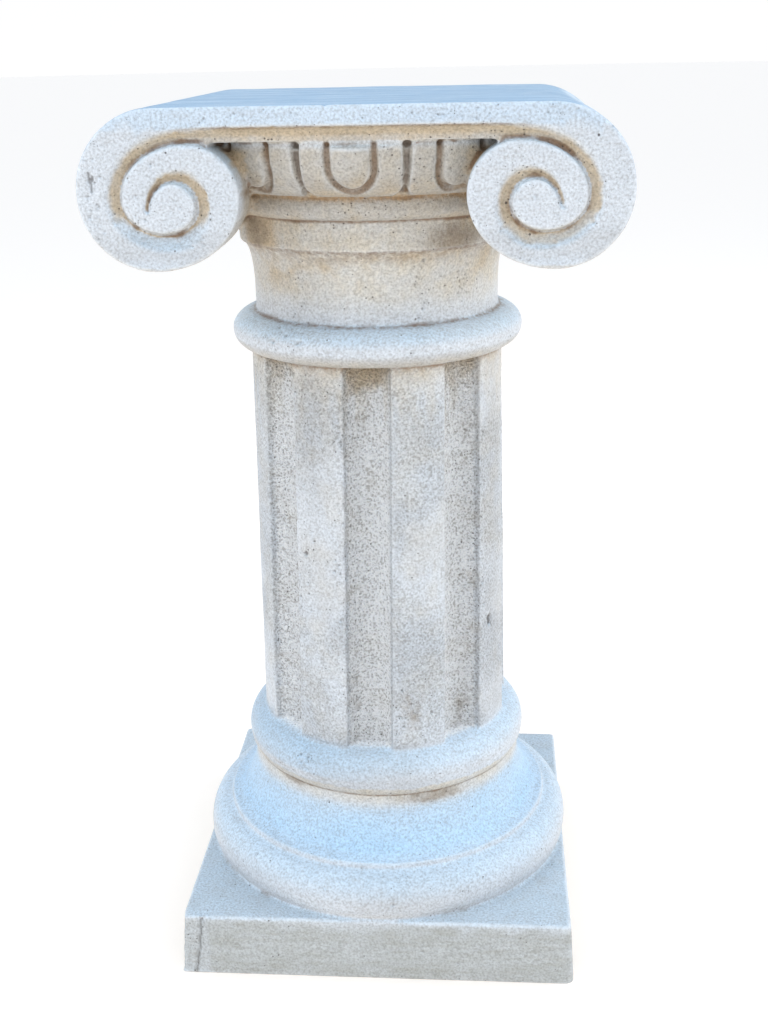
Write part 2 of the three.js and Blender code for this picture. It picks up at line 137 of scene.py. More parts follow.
# Volute scroll as quarter turns, each from one outermost point to the next, from the eye
SCROLL_TURNS = [(8, EYE_BELOW_SLAB_TOP), (SCROLL_REACH, 9), (10.8, -38), (-41.7, 6), (-10.7, 37.2)]
SCROLL_JOIN = 0.85
INNER_TURNS = [(-10.7, 37.2), (29.8, 6), (5.3, -14.7), (-14.7, 1), (-0.7, 14.8), (13.4, -3)]
BAND_TOP = EYE_BELOW_SLAB_TOP - BAND_WIDTH
BAND_TURNS = [(-13.7, BAND_TOP), (40.8, 6), (1.3, -26), (-25.7, 1), (-6.7, 23), (16.8, -1)]
# Sections of the channel: shares of the way from the coil to the band, and shares of the depth
CHANNEL_ACROSS = (0, 0.04, 0.1, 0.2, 0.45, 0.7, 0.87, 1)
CHANNEL_SECTION = (0, 0.6, 1, 0.97, 0.72, 0.38, 0.14, 0)
MIDDLE_SECTION = (1, 1, 1, 1, 0.95, 0.78, 0.42, 0)

# Heights, each from what carries it, with the shaft taking what is left
LOWER_TORUS_TOP = PLINTH_HEIGHT + LOWER_TORUS_HEIGHT
SCOTIA_FOOT = LOWER_TORUS_TOP + FILLET_HEIGHT
SCOTIA_TOP = SCOTIA_FOOT + SCOTIA_HEIGHT
SHAFT_FOOT = SCOTIA_TOP + UPPER_TORUS_HEIGHT
SLAB_FOOT = SLAB_TOP - SLAB_THICKNESS
ECHINUS_FOOT = SLAB_FOOT - ECHINUS_HEIGHT
ASTRAGAL_FOOT = ECHINUS_FOOT - ASTRAGAL_HEIGHT
NECK_BAND_FOOT = ASTRAGAL_FOOT - NECK_BAND_HEIGHT
NECK_LIP_FOOT = NECK_BAND_FOOT - NECK_LIP_HEIGHT
NECK_FLARE_FOOT = NECK_LIP_FOOT - NECK_FLARE_HEIGHT
NECK_FOOT = NECK_FLARE_FOOT - NECK_STRAIGHT_HEIGHT
SHAFT_TOP = NECK_FOOT - RING_HEIGHT
EYE_HEIGHT = SLAB_TOP - EYE_BELOW_SLAB_TOP

# Fineness of the forms before they are joined
ROUND_STEPS = 360
RELIEF_STEPS = 900
MOULDING_STEPS = 12
SCROLL_STEPS = 24
CHANNEL_STEPS = 24
RELIEF_SPACING = 1.0
OVERLAP = 3
CLEAR = 1

# Fine mesh
VOXEL = 1.15
TARGET_TRIANGLES = 190_000
SOFTEN_ROUNDS = 3
SEED = 11

# Wear of the surface: depths, wavelengths and reaches
HOLLOW_REACH = 14
COARSE_VOXEL = 4
COARSE_ROUNDS = 14
WAVE = 0.45
WAVE_LENGTH = 70
RIPPLE = 0.22
RIPPLE_LENGTH = 17
GRAIN = 0.16
GRAIN_LENGTH = 3.4
EDGE_WEAR = 0.8
CORNER_ROUNDING = 4
FOOT_KEEP = 1.2
PIT_LOWEST = 3
PATCH_WIDTH = 22
CRACK_FOOT = 11
CRACK_TOP = 16.5

# Clusters of open pits on the round part: angle, height, spread in degrees, spread up, count
PIT_CLUSTERS = [
    (-32, 497, 3.5, 9, 16),
    (24, 488, 3, 13, 18),
    (46, 489, 3, 7, 16),
    (-32, 461, 6, 7, 20),
    (-30, 150, 3, 4, 12),
    (-32, 427, 3.5, 10, 12),
    (-11, 300, 2.5, 110, 46),
    (-31, 330, 3, 70, 16),
    (54, 320, 2.5, 70, 14),
    (15, 190, 6, 14, 12),
    (5, 540, 22, 6, 14),
    (10, 570, 22, 9, 16),
]
# Single pits: angle, height, radius, depth
SINGLE_PITS = [
    (60.7, 242.8, 2.6, 2.2),
    (61.0, 240.0, 2.2, 1.8),
    (-31.1, 305.5, 1.9, 1.6),
    (5.5, 62, 1.4, 1.0),
]
# Pits on the front face of the capital: x, height, spread across, spread up, count
FACE_CLUSTERS = [
    (-157, 545, 4, 14, 24),
    (-60, 600, 30, 4, 26),
    (62, 600, 40, 4, 28),
    (-104, 546, 16, 12, 18),
    (106, 548, 18, 14, 16),
    (-136, 545, 4, 14, 12),
]
# Upright slots in the rim of the left volute: x, foot, top
RIM_SLOTS = [(-159.3, 565, 571.5), (-158, 560, 568), (-156.6, 566, 569.5)]
SCATTERED_PITS = 260
LONG_RISE = 60

# Stained patches on the round part, and patches of painted shade on the shaft's bands: share, angle, height,
# half angle, half height
NECK_TAN = [(0.9, -44, 505, 20, 20), (1, -20, 509, 14, 9), (0.8, 52, 503, 14, 12), (0.5, 20, 508, 12, 6)]
CORNER_TAN = [(1.8, -50, 525, 12, 12), (0.8, 56, 526, 8, 10)]
BAND_SCUFFS = [(0.6, 2, 525, 9, 6), (1.8, 37, 522, 13, 9), (1, -150, 525, 14, 9), (2, -52, 526, 10, 10)]
TORUS_SPOTS = [(1.4, 24, 123, 17, 6), (1, -37, 127, 9, 5), (0.7, 160, 122, 30, 7)]
SHAFT_BAND_SHADE = [(0.5, -27, 420, 11, 150), (0.5, 64, 330, 12, 300)]
# Dirt on the shaft, with painted shade down the walls of two flutes in the first and third rows: the least
# that holds and what breaks it up, then as above
SHAFT_DIRT_AND_WALL_SHADE = [
    (0.45, "speckled", 0.5, -10.5, 300, 3.4, 400),
    (0.4, "speckled", 0.7, -9, 185, 4, 18),
    (0.3, "blotchy", 0.4, 52, 300, 4, 400),
    (0.368, "blotchy", 1.14, 16.5, 189, 6, 20),
    (0, "blotchy", 0.85, 48, 175, 6, 14),
    (0, "broken", 0.5, 150, 250, 30, 60),
    (0, "broken", 0.5, -140, 380, 25, 40),
]
# Creases that hold brown dirt and painted shade: share, height, reach
CREASES = [
    (0.75, NECK_FOOT, 5),
    (0.9, SHAFT_TOP, 5),
    (0.975, SCOTIA_TOP, 7),
    (0.45, SHAFT_FOOT + 2, 6),
    (0.3, LOWER_TORUS_TOP, 5),
    (0.55, PLINTH_HEIGHT, 4),
]
VOLUTES_FROM = 136
BAND_LINE = SLAB_TOP - BAND_WIDTH

# Colours of the finish and of the painted light and shade, linear
WASH = (0.67, 0.70, 0.74)
GREY_WASH = (0.62, 0.65, 0.69)
# Painted blue sky light on faces that look up
PAINTED_SKYLIGHT = (0.60, 0.73, 0.85)
# Painted blue sky light on the scotia, the upper torus, the slab's front and the rims
PAINTED_SKY_BLUE = (0.45, 0.665, 0.88)
# Painted light in the flutes, to offset the shade that falls in them
FLUTE_PAINTED_LIGHT = (0.95, 0.97, 1.0)
# Worn edges, with a painted highlight along the convex edges
EDGE_WEAR_AND_HIGHLIGHT = (0.82, 0.85, 0.88)
# Painted shade in the grain's dips and painted highlights on its tips
GRAIN_PAINTED_SHADE = (0.60, 0.57, 0.54)
GRAIN_PAINTED_HIGHLIGHT = (1.3, 1.3, 1.3)
# Painted shade
SHADE = (0.68, 0.65, 0.62)
# Cream stain, and painted warm shade under things
CREAM_AND_WARM_SHADE = (0.66, 0.60, 0.50)
# Tan stain, and painted shade on what looks down or lies in hollows
TAN_STAIN_AND_SHADE = (0.56, 0.44, 0.29)
# Brown dirt and painted shade in creases and hollows
DIRT_AND_SHADE_BROWN = (0.19, 0.105, 0.05)
GROOVE_BROWN = (0.23, 0.15, 0.09)
RUST = (0.40, 0.25, 0.12)
# Grey-brown dirt, also painted shade down two flute walls
GRIME_AND_WALL_SHADE = (0.29, 0.225, 0.16)
# Painted shade in the dart slots
DART_SLOT_SHADE = (0.23, 0.19, 0.155)
# Dirt and painted shade on the plinth's sides
PLINTH_DIRT_AND_SHADE = (0.42, 0.43, 0.41)
# Painted shade in pits and pores
PIT_AND_PORE_SHADE = (0.07, 0.052, 0.04)
# Painted sky reflection on the slab's top, with painted highlights streaked along the brush strokes
SLAB_TOP_PAINTED_SKY = (0.23, 0.41, 0.59)
SLAB_TOP_PAINTED_STREAK = (0.37, 0.54, 0.71)

# Lines of dirt and painted shade on the round part: height, reach above, reach below, share, how evenly it
# holds
DIRT_AND_SHADE_LINES = [
    (ASTRAGAL_FOOT, 1.4, 2.2, 0.9, 0.5),
    (NECK_LIP_FOOT + NECK_LIP, 1.0, 3, 0.5, 0.4),
    (NECK_LIP_FOOT + NECK_LIP, 1.0, 13, 0.5, 0.05),
    (NECK_FOOT, 1.4, 1.2, 0.75, 0.1),
    (SHAFT_TOP, 1.5, 3.5, 0.7, 0.2),
    (SCOTIA_TOP, 1.4, 1.8, 0.85, 0.4),
]
RUST_LINES = [
    (ECHINUS_FOOT, 1.6, 5, 0.95, 0.2),
    (SHAFT_TOP, 0.5, 9, 0.4, 0.0),
]
CHANNEL_DIRT_AND_SHADE_LINE = (SLAB_TOP - BAND_WIDTH, 0.8, 2.4, 0.75, 0.25)
LINE_WOBBLE = 1.6
LINE_RADIUS = 108

# Camera of the photograph, from a fit to the plinth corners and the circles of the mouldings
FOCAL_PIXELS = 1332.1
FRAME_HEIGHT = 1024
SENSOR = 36
CAMERA_PLACE = (0.07746, -0.93678, 0.64340)
CAMERA_YAW = 0.0808
CAMERA_PITCH = 0.3424
CAMERA_ROLL = -0.0217

# Floor, sky and lights: name, place, size, power and colour
FLOOR_RADIUS = 30
FLOOR_COLOR = (1.0, 0.97, 0.93, 1)
FLOOR_GLOW = (1.0, 0.62, 0.3, 1)
FLOOR_GLOW_STRENGTH = 0.16
HORIZON = (1.17, 1.17, 1.17)
ZENITH = (0.78, 0.95, 1.14)
SKY_STRENGTH = 0.86
LIGHT_TARGET = (0, 0, 0.35)
LIGHTS = [
    ("window_right", (2.2, 0.2, 1.4), 1.2, 21, (0.93, 0.97, 1.0)),
    ("front_fill", (0.6, -2.6, 1.2), 1.5, 6, (0.97, 0.98, 1.0)),
    ("window_left", (-1.7, -1.2, 1.7), 1.2, 16, (0.93, 0.97, 1.0)),
]


def quarter_turn(start, end, across, steps, share=1.0):
    """Points of a quarter ellipse without its first point. It sets out across or else upright."""
    angle = share * math.pi / 2 * np.arange(1, steps + 1) / steps
    early, late = np.sin(angle), 1 - np.cos(angle)
    first, second = (early, late) if across else (late, early)
    return [
        (start[0] + (end[0] - start[0]) * a, start[1] + (end[1] - start[1]) * b)
        for a, b in zip(first, second)
    ]


def winding_turns(turns, steps):
    """A run of quarter turns that starts across and turns square at each given point."""
    points = [turns[0]]
    for i in range(1, len(turns)):
        points += quarter_turn(turns[i - 1], turns[i], i % 2 == 1, steps)
    return points


def closer(profile, spacing):
    """The same profile with points no further apart than the spacing."""
    points = [profile[0]]
    for start, end in zip(profile[:-1], profile[1:]):
        pieces = max(1, math.ceil(math.dist(start, end) / spacing))
        for i in range(1, pieces + 1):
            points.append(tuple(np.array(start) + (np.array(end) - start) * i / pieces))
    return points


def solid(name, points, faces):
    """Object holding a closed mesh with its faces turned outwards."""
    mesh = bpy.data.meshes.new(name)
    mesh.from_pydata([tuple(p) for p in points], [], faces)
    work = bmesh.new()
    work.from_mesh(mesh)
    if work.calc_volume(signed=True) < 0:
        bmesh.ops.reverse_faces(work, faces=work.faces)
    work.to_mesh(mesh)
    work.free()
    obj = bpy.data.objects.new(name, mesh)
    bpy.context.scene.collection.objects.link(obj)
    return obj


def ring_faces(rows, count):
    """Quads of a closed tube of rings, each with the same number of points."""
    here = np.arange(rows - 1)[:, None] * count + np.arange(count)[None]
    beside = np.arange(rows - 1)[:, None] * count + (np.arange(count)[None] + 1) % count
    quads = np.stack([here, beside, beside + count, here + count], axis=-1)
    return quads.reshape(-1, 4).tolist()


def turned(name, profile, steps, relief=None):
    """Solid of revolution from (radius, height) pairs that run up from the axis to the axis."""
    middle = np.array(profile[1:-1], float)
    radius, height = middle[:, :1], middle[:, 1:]
    angle = 2 * math.pi * np.arange(steps)[None] / steps
    if relief is not None:
        run = np.gradient(middle, axis=0)
        facing = np.stack([run[:, 1], -run[:, 0]], axis=1)
        facing /= np.linalg.norm(facing, axis=1, keepdims=True)
        proud = relief(angle, height)
        radius = radius + facing[:, :1] * proud
        height = height + facing[:, 1:] * proud
    x = radius * np.sin(angle)
    y = -radius * np.cos(angle)
    z = height + 0 * angle
    points = np.stack([x, y, z], axis=-1).reshape(-1, 3).tolist()
    faces = ring_faces(len(middle), steps)
    foot, crown = len(points), len(points) + 1
    points += [(0, 0, profile[0][1]), (0, 0, profile[-1][1])]
    last = (len(middle) - 1) * steps
    for i in range(steps):
        beside = (i + 1) % steps
        faces.append((foot, beside, i))
        faces.append((crown, last + i, last + beside))
    return solid(name, points, faces)


def lofted(name, rings):
    """Solid through a row of rings with equal numbers of points, closed flat at both ends."""
    count = len(rings[0])
    points = [point for ring in rings for point in ring]
    faces = ring_faces(len(rings), count)
    last = (len(rings) - 1) * count
    faces.append(tuple(reversed(range(count))))
    faces.append(tuple(range(last, last + count)))
    return solid(name, points, faces)


def plinth():
    """Square plinth, a little wider at its foot."""
    rings = []
    for half, height in ((PLINTH_SIDE / 2 + PLINTH_DRAFT, 0), (PLINTH_SIDE / 2, PLINTH_HEIGHT)):
        rings.append([(half * x, half * y, height) for x, y in ((-1, -1), (1, -1), (1, 1), (-1, 1))])
    return lofted("plinth", rings)


def base_mouldings():
    """Lower torus, fillet, scotia and upper torus."""
    torus_foot = (LOWER_TORUS_RADIUS - LOWER_TORUS_TUCK, PLINTH_HEIGHT)
    torus_side = (LOWER_TORUS_RADIUS, PLINTH_HEIGHT + LOWER_TORUS_HEIGHT * LOWER_TORUS_MIDDLE_SHARE)
    fillet_foot = (FILLET_RADIUS, LOWER_TORUS_TOP)
    fillet_top = (FILLET_RADIUS, SCOTIA_FOOT)
    scotia_top = (SCOTIA_TOP_RADIUS, SCOTIA_TOP)
    upper_side = (UPPER_TORUS_RADIUS, SCOTIA_TOP + UPPER_TORUS_HEIGHT * UPPER_TORUS_MIDDLE_SHARE)
    upper_crest = (SHAFT_FOOT_RADIUS - FLUTE_DEPTH, SHAFT_FOOT + UPPER_TORUS_CREST_RISE)
    return turned("base", [
        (0, PLINTH_HEIGHT - OVERLAP),
        (torus_foot[0], PLINTH_HEIGHT - OVERLAP),
        torus_foot,
        *quarter_turn(torus_foot, torus_side, True, MOULDING_STEPS),
        *quarter_turn(torus_side, fillet_foot, False, MOULDING_STEPS),
        fillet_top,
        *quarter_turn(fillet_top, scotia_top, True, MOULDING_STEPS),
        *quarter_turn(scotia_top, upper_side, True, MOULDING_STEPS),
        *quarter_turn(upper_side, upper_crest, False, MOULDING_STEPS),
        (0, SHAFT_FOOT + UPPER_TORUS_CREST_RISE),
    ], ROUND_STEPS)


def up_shaft(foot, top, height):
    """Value at a height, when it goes evenly from the foot of the shaft to its top."""
    return foot + (top - foot) * ((height - SHAFT_FOOT) / (SHAFT_TOP - SHAFT_FOOT))


def from_flute(angle, height):
    """Angle from the middle of the nearest flute."""
    step = 2 * math.pi / FLUTE_COUNT
    turn = up_shaft(FLUTE_FOOT_TURN, FLUTE_TOP_TURN, height)
    return (angle - turn + step / 2) % step - step / 2


def fluting(angle, height):
    """Depth of the round flutes below the shaft's surface, as a negative height."""
    radius = up_shaft(SHAFT_FOOT_RADIUS, SHAFT_TOP_RADIUS, height)
    half_angle = FLUTE_SHARE * math.pi / FLUTE_COUNT
    half_width = radius * math.sin(half_angle)
    sagitta = FLUTE_DEPTH - radius * (1 - math.cos(half_angle))
    bar = (half_width ** 2 + sagitta ** 2) / (2 * sagitta)
    centre = radius - FLUTE_DEPTH + bar
    off = from_flute(angle, height)
    reach = np.maximum(bar ** 2 - (centre * np.sin(off)) ** 2, 0)
    floor = centre * np.cos(off) - np.sqrt(reach)
    return np.where(np.abs(off) < half_angle, np.minimum(floor - radius, 0), 0)


def shaft():
    """Tapered shaft with its flutes."""
    foot = (SHAFT_FOOT_RADIUS, SHAFT_FOOT - OVERLAP)
    top = (SHAFT_TOP_RADIUS, SHAFT_TOP + OVERLAP)
    side = closer([foot, top], 2 * OVERLAP)
    return turned("shaft", [(0, foot[1]), *side, (0, top[1])], RELIEF_STEPS, fluting)


def from_egg(angle, height):
    """Distance beyond the outline of the nearest egg, and distance from the nearest dart."""
    step = 2 * math.pi / EGG_COUNT
    off = np.abs((angle - EGG_TURN + step / 2) % step - step / 2)
    across = off * ECHINUS_RADIUS
    below = SLAB_FOOT - height
    bend = EGG_HEIGHT - EGG_WIDTH / 2
    from_middle = np.where(below < bend, across, np.hypot(across, below - bend))
    return from_middle - EGG_WIDTH / 2, (step / 2 - off) * ECHINUS_RADIUS


def egg_and_dart(angle, height):
    """How far the carving stands proud of the echinus, negative where it is sunk."""
    beyond, from_dart = from_egg(angle, height)
    half_groove = EGG_GROOVE_WIDTH / 2
    groove = -EGG_GROOVE_DEPTH * np.clip(1 - np.abs(beyond) / half_groove, 0, 1) ** 0.7
    inward = np.clip(-(beyond + half_groove) / (EGG_WIDTH / 2 - half_groove), 0, 1)
    swell = EGG_SWELL * np.sqrt(1 - (1 - inward) ** 2)
    share = np.clip((SLAB_FOOT - height) / ECHINUS_HEIGHT, 0, 1)
    flare = DART_FLARE * np.clip((share - DART_FLARE_FROM) / (1 - DART_FLARE_FROM), 0, 1)
    half_dart = (DART_TOP_WIDTH + (DART_FOOT_WIDTH - DART_TOP_WIDTH) * share) / 2 + flare
    dart = -DART_DEPTH * np.clip((half_dart - from_dart) / DART_WALL, 0, 1)
    carved = (height > ECHINUS_FOOT) & (height < SLAB_FOOT + CLEAR)
    return np.where(carved, np.minimum(groove + swell, 0) + np.where(groove < 0, 0, swell) + dart, 0)


def neck_mouldings():
    """Ring, neck, neck band, astragal and carved echinus."""
    ring_side = (RING_RADIUS, SHAFT_TOP + RING_HEIGHT / 2)
    ring_foot = (SHAFT_TOP_RADIUS, SHAFT_TOP)
    neck_foot = (NECK_RADIUS, NECK_FOOT)
    flare_foot = (NECK_RADIUS, NECK_FLARE_FOOT)
    flare_top = (NECK_FLARE_RADIUS, NECK_LIP_FOOT)
    astragal_foot = (NECK_BAND_RADIUS, ASTRAGAL_FOOT)
    astragal_side = (ASTRAGAL_RADIUS, ASTRAGAL_FOOT + ASTRAGAL_HEIGHT / 2)
    echinus_foot = (ECHINUS_FOOT_RADIUS - ECHINUS_SHOULDER, ECHINUS_FOOT)
    ovolo_foot = (ECHINUS_FOOT_RADIUS, ECHINUS_FOOT)
    ovolo_top = (ECHINUS_RADIUS, SLAB_FOOT - ECHINUS_SHOULDER)
    shoulder = (ECHINUS_RADIUS - ECHINUS_SHOULDER, SLAB_FOOT)
    plain = [
        ring_foot,
        *quarter_turn(ring_foot, ring_side, True, MOULDING_STEPS),
        *quarter_turn(ring_side, neck_foot, False, MOULDING_STEPS),
        *quarter_turn(flare_foot, flare_top, False, MOULDING_STEPS),
        (NECK_BAND_RADIUS, NECK_LIP_FOOT + NECK_LIP),
        astragal_foot,
        *quarter_turn(astragal_foot, astragal_side, True, MOULDING_STEPS),
        *quarter_turn(astragal_side, echinus_foot, False, MOULDING_STEPS),
    ]
    carved = closer([
        ovolo_foot,
        *quarter_turn(ovolo_foot, ovolo_top, True, 2 * MOULDING_STEPS),
        *quarter_turn(ovolo_top, shoulder, False, MOULDING_STEPS),
        (shoulder[0], SLAB_FOOT + OVERLAP),
    ], RELIEF_SPACING)
    profile = [(0, SHAFT_TOP), *plain, *carved, (0, SLAB_FOOT + OVERLAP)]
    return turned("neck", profile, RELIEF_STEPS, egg_and_dart)


def volute_outline(inset, top_inset):
    """Front outline of the slab with a scroll at each end, drawn in by the given insets."""
    top, right, foot, left, inner_top = SCROLL_TURNS
    turns = [
        (top[0], top[1] - top_inset),
        (right[0] - inset, right[1]),
        (foot[0], foot[1] + inset),
        (left[0] + inset, left[1]),
    ]
    scroll = winding_turns(turns, SCROLL_STEPS)
    scroll += quarter_turn(turns[3], inner_top, False, SCROLL_STEPS, SCROLL_JOIN)
    half = [(EYE_OFFSET + x, EYE_HEIGHT + z) for x, z in scroll]
    half.append((half[-1][0], SLAB_FOOT))
    return half + [(-x - LEFT_VOLUTE_EXTRA, z) for x, z in reversed(half)]


def volute_block():
    """Slab and volutes from the front face to the back face, with the bolsters drawn in."""
    sections = []
    for i in range(5):
        turn = math.pi / 2 * i / 4
        inset = FACE_EDGE * (1 - math.sin(turn))
        sections.append((-FRONT + FACE_EDGE * (1 - math.cos(turn)), inset, inset))
    sections.append((-FRONT + RIM_WIDTH, 0, 0))
    sections.append((-FRONT + RIM_WIDTH + RIM_STEP_RUN, RIM_STEP, 0))
    for i in range(4):
        turn = math.pi / 2 * i / 4
        start = -FRONT + RIM_WIDTH + RIM_STEP_RUN + RIM_STEP
        sections.append((start * (1 - math.sin(turn)), RIM_STEP + BOLSTER_WAIST * math.sin(turn), 0))
    behind = [(-y, *insets) for y, *insets in reversed(sections)]
    sections.append((0, RIM_STEP + BOLSTER_WAIST, 0))
    rings = []
    for y, inset, top_inset in sections + behind:
        rings.append([(x, y, z) for x, z in volute_outline(inset, top_inset)])
    return lofted("volutes", rings)


def channel_cutter(name, side, facing):
    """Cutter for one half of a channel, from the middle of the slab and winding in to the eye."""
    def place(point):
        return EYE_OFFSET + point[0], EYE_HEIGHT + point[1]
    bands = [place(p) for p in winding_turns(BAND_TURNS, CHANNEL_STEPS)]
    coils = [place(p) for p in winding_turns(INNER_TURNS, CHANNEL_STEPS)]
    middle = (-LEFT_VOLUTE_EXTRA - CLEAR, EYE_OFFSET + SCROLL_TURNS[3][0] - CHANNEL_MIDDLE_SETBACK)
    bands = [(x, bands[0][1]) for x in middle] + bands
    coils = [(x, SLAB_FOOT - OVERLAP) for x in middle] + coils
    fade_from = len(bands) - CHANNEL_STEPS
    rings = []
    for i, (band, coil) in enumerate(zip(bands, coils)):
        fade = max(i - fade_from, 0) / CHANNEL_STEPS
        depth = CHANNEL_DEPTH + (CHANNEL_END_DEPTH - CHANNEL_DEPTH) * fade
        profile = CHANNEL_SECTION
        if i < len(middle):
            depth, profile = CHANNEL_MIDDLE_DEPTH, MIDDLE_SECTION
        sunk_points = [(share, depth * sunk) for share, sunk in zip(CHANNEL_ACROSS, profile)]
        section = [(0, -CLEAR), *sunk_points, (1, -CLEAR)]
        rings.append([
            (
                side * (coil[0] + (band[0] - coil[0]) * share) - (LEFT_VOLUTE_EXTRA if side < 0 else 0),
                facing * (-FRONT + sunk),
                coil[1] + (band[1] - coil[1]) * share,
            )
            for share, sunk in section
        ])
    return lofted(name, rings)


def rough_block():
    """All forms joined and the channels cut, as one mesh of even small faces."""
    body = plinth()
    joined = [base_mouldings(), shaft(), neck_mouldings(), volute_block()]
    cut = []
    for side, facing in itertools.product((1, -1), repeat=2):
        cut.append(channel_cutter(f"channel_{side}_{facing}", side, facing))
    for operation, tools in (("UNION", joined), ("DIFFERENCE", cut)):
        for tool in tools:
            step = body.modifiers.new(tool.name, "BOOLEAN")
            step.operation = operation
            step.solver = "MANIFOLD"
            step.object = tool
    voxels = body.modifiers.new("even_faces", "REMESH")
    voxels.mode = "VOXEL"
    voxels.voxel_size = VOXEL
    mesh = applied(body, "block")
    for tool in joined + cut:
        bpy.data.objects.remove(tool)
    return mesh


def read_points(mesh):
    points = np.empty(len(mesh.vertices) * 3)
    mesh.vertices.foreach_get("co", points)
    return points.reshape(-1, 3)


def read_edges(mesh):
    edges = np.empty(len(mesh.edges) * 2, np.int64)
    mesh.edges.foreach_get("vertices", edges)
    return edges.reshape(-1, 2)


def read_normals(mesh, points):
    mesh.vertices.foreach_set("co", points.ravel())
    mesh.update()
    normals = np.empty(len(points) * 3)
    mesh.vertex_normals.foreach_get("vector", normals)
    return normals.reshape(-1, 3)


def neighbour_mean(values, edges, degree):
    """Mean of each point's neighbours."""
    total = np.empty_like(values)
    for axis in range(values.shape[1]):
        column = values[:, axis]
        total[:, axis] = np.bincount(edges[:, 0], column[edges[:, 1]], len(values))
        total[:, axis] += np.bincount(edges[:, 1], column[edges[:, 0]], len(values))
    return total / degree[:, None]


def softened(values, edges, degree, rounds):
    """Values moved halfway to their neighbours' mean, some rounds over."""
    for _ in range(rounds):
        values = (values + neighbour_mean(values, edges, degree)) / 2
    return values


def lattice_noise(points, wavelength, seed):
    """Smooth noise from -1 to 1, its lattice one wavelength wide."""
    size = 61
    lattice = np.random.default_rng(seed).uniform(-1, 1, (size, size, size))
    place = points / wavelength + seed
    cell = np.floor(place).astype(np.int64)
    share = place - cell
    share = share * share * (3 - 2 * share)
    total = np.zeros(len(points))
    for corner in itertools.product((0, 1), repeat=3):
        weight = np.prod(np.where(np.array(corner), share, 1 - share), axis=1)
        x, y, z = ((cell + corner) % size).T
        total += weight * lattice[x, y, z]
    return total


def layered_noise(points, wavelength, seed, layers=3):
    """Noise with finer and weaker layers added, from about -1 to 1."""
    total = 0
    for layer in range(layers):
        total = total + lattice_noise(points, wavelength / 2 ** layer, seed + layer) / 2 ** layer
    return total


def ramp(values, start, end):
    """0 at the start, 1 at the end, and smooth between them."""
    share = np.clip((values - start) / (end - start), 0, 1)
    return share * share * (3 - 2 * share)


def hump(values, middle, half_width):
    """1 at the middle, falling smoothly to nothing about two half widths off."""
    return np.exp(-((values - middle) / half_width) ** 2)


class Place:
    """Where the points of a mesh are: about the axis, up it, and on the faces."""

    def __init__(self, points, normals):
        self.points = points
        self.normals = normals
        self.x, self.y, self.z = points.T
        self.radius = np.hypot(self.x, self.y)
        self.angle = np.degrees(np.arctan2(self.x, -self.y))
        self.facing_up = normals[:, 2]
        self.facing_front = np.abs(normals[:, 1])
        self.sunk = FRONT - np.abs(self.y)
        left_extra = np.where(self.x < 0, LEFT_VOLUTE_EXTRA, 0)
        self.across_eye = np.abs(self.x) - left_extra - EYE_OFFSET
        self.above_eye = self.z - EYE_HEIGHT

    def between(self, low, high, soft=1.5):
        return ramp(self.z, low - soft, low + soft) * (1 - ramp(self.z, high - soft, high + soft))

    def patch(self, angle, height, half_angle, half_height):
        """Soft patch about a point on the round part, angles in degrees from the front."""
        off = (self.angle - angle + 180) % 360 - 180
        return hump(off, 0, half_angle) * hump(self.z, height, half_height)

    def patches(self, spots):
        """Soft patches added up, each a share and then as above."""
        return np.clip(sum(share * self.patch(*spot) for share, *spot in spots), 0, 1)

    def texture(self, wavelength, seed_step, low, high, upright=1.0):
        """Noise from 0 to 1 that breaks up a mask, drawn out upright when that is below 1."""
        noise = layered_noise(self.points * [1, 1, upright], wavelength, SEED + seed_step)
        return ramp(noise, low, high)

    @functools.cached_property
    def patchy(self):
        return self.texture(30, 40, -0.6, 0.7)

    @functools.cached_property
    def blotchy(self):
        return self.texture(14, 44, -0.5, 0.8)

    @functools.cached_property
    def speckled(self):
        return self.texture(7, 47, -0.3, 0.8)

    @functools.cached_property
    def broken(self):
        return self.blotchy * self.speckled

    @functools.cached_property
    def flute_depth(self):
        return -fluting(np.radians(self.angle), self.z)

    @functools.cached_property
    def on_shaft(self):
        return self.between(SHAFT_FOOT + 3, SHAFT_TOP)

    @functools.cached_property
    def under_cap(self):
        """Share by which a point is on the neck or echinus, or on what the volutes shelter."""
        sheltered = 1 - ramp(self.radius, ECHINUS_RADIUS + EGG_SWELL + 1, ECHINUS_RADIUS + 12)
        under_slab = 1 - ramp(self.z, SLAB_FOOT - 1, SLAB_FOOT + 1)
        between_eyes = 1 - ramp(np.abs(self.x), 98, 108)
        return ramp(self.z, NECK_FOOT + 2, NECK_FLARE_FOOT + 10) * sheltered * under_slab * between_eyes


def pit_places(place, rng):
    """Centres, radii and depths of the pits that are cut into the mesh."""
    pits = []
    for angle, height, spread, rise, count in PIT_CLUSTERS:
        for _ in range(count):
            turn = math.radians(rng.normal(angle, spread))
            up = rng.normal(height, rise) if rise < LONG_RISE else rng.uniform(height - rise, height + rise)
            pits.append(("round", (turn, up), rng.uniform(0.7, 1.4), rng.uniform(0.6, 1.3)))
    for angle, height, size, depth in SINGLE_PITS:
        pits.append(("round", (math.radians(angle), height), size, depth))
    for x, height, spread, rise, count in FACE_CLUSTERS:
        for _ in range(count):
            spot = (rng.normal(x, spread), rng.normal(height, rise))
            pits.append(("face", spot, rng.uniform(0.8, 1.4), rng.uniform(0.5, 1.0)))
    for x, foot, top in RIM_SLOTS:
        for height in np.arange(foot, top, 0.7):
            pits.append(("face", (x, height), 0.9, 1.0))
    for index in rng.integers(0, len(place.points), SCATTERED_PITS):
        pits.append(("scattered", tuple(place.points[index]), rng.uniform(0.7, 1.2), rng.uniform(0.3, 0.9)))
    return pits


def surface_tree(points):
    tree = KDTree(len(points))
    for index, point in enumerate(points):
        tree.insert(point, index)
    tree.balance()
    return tree


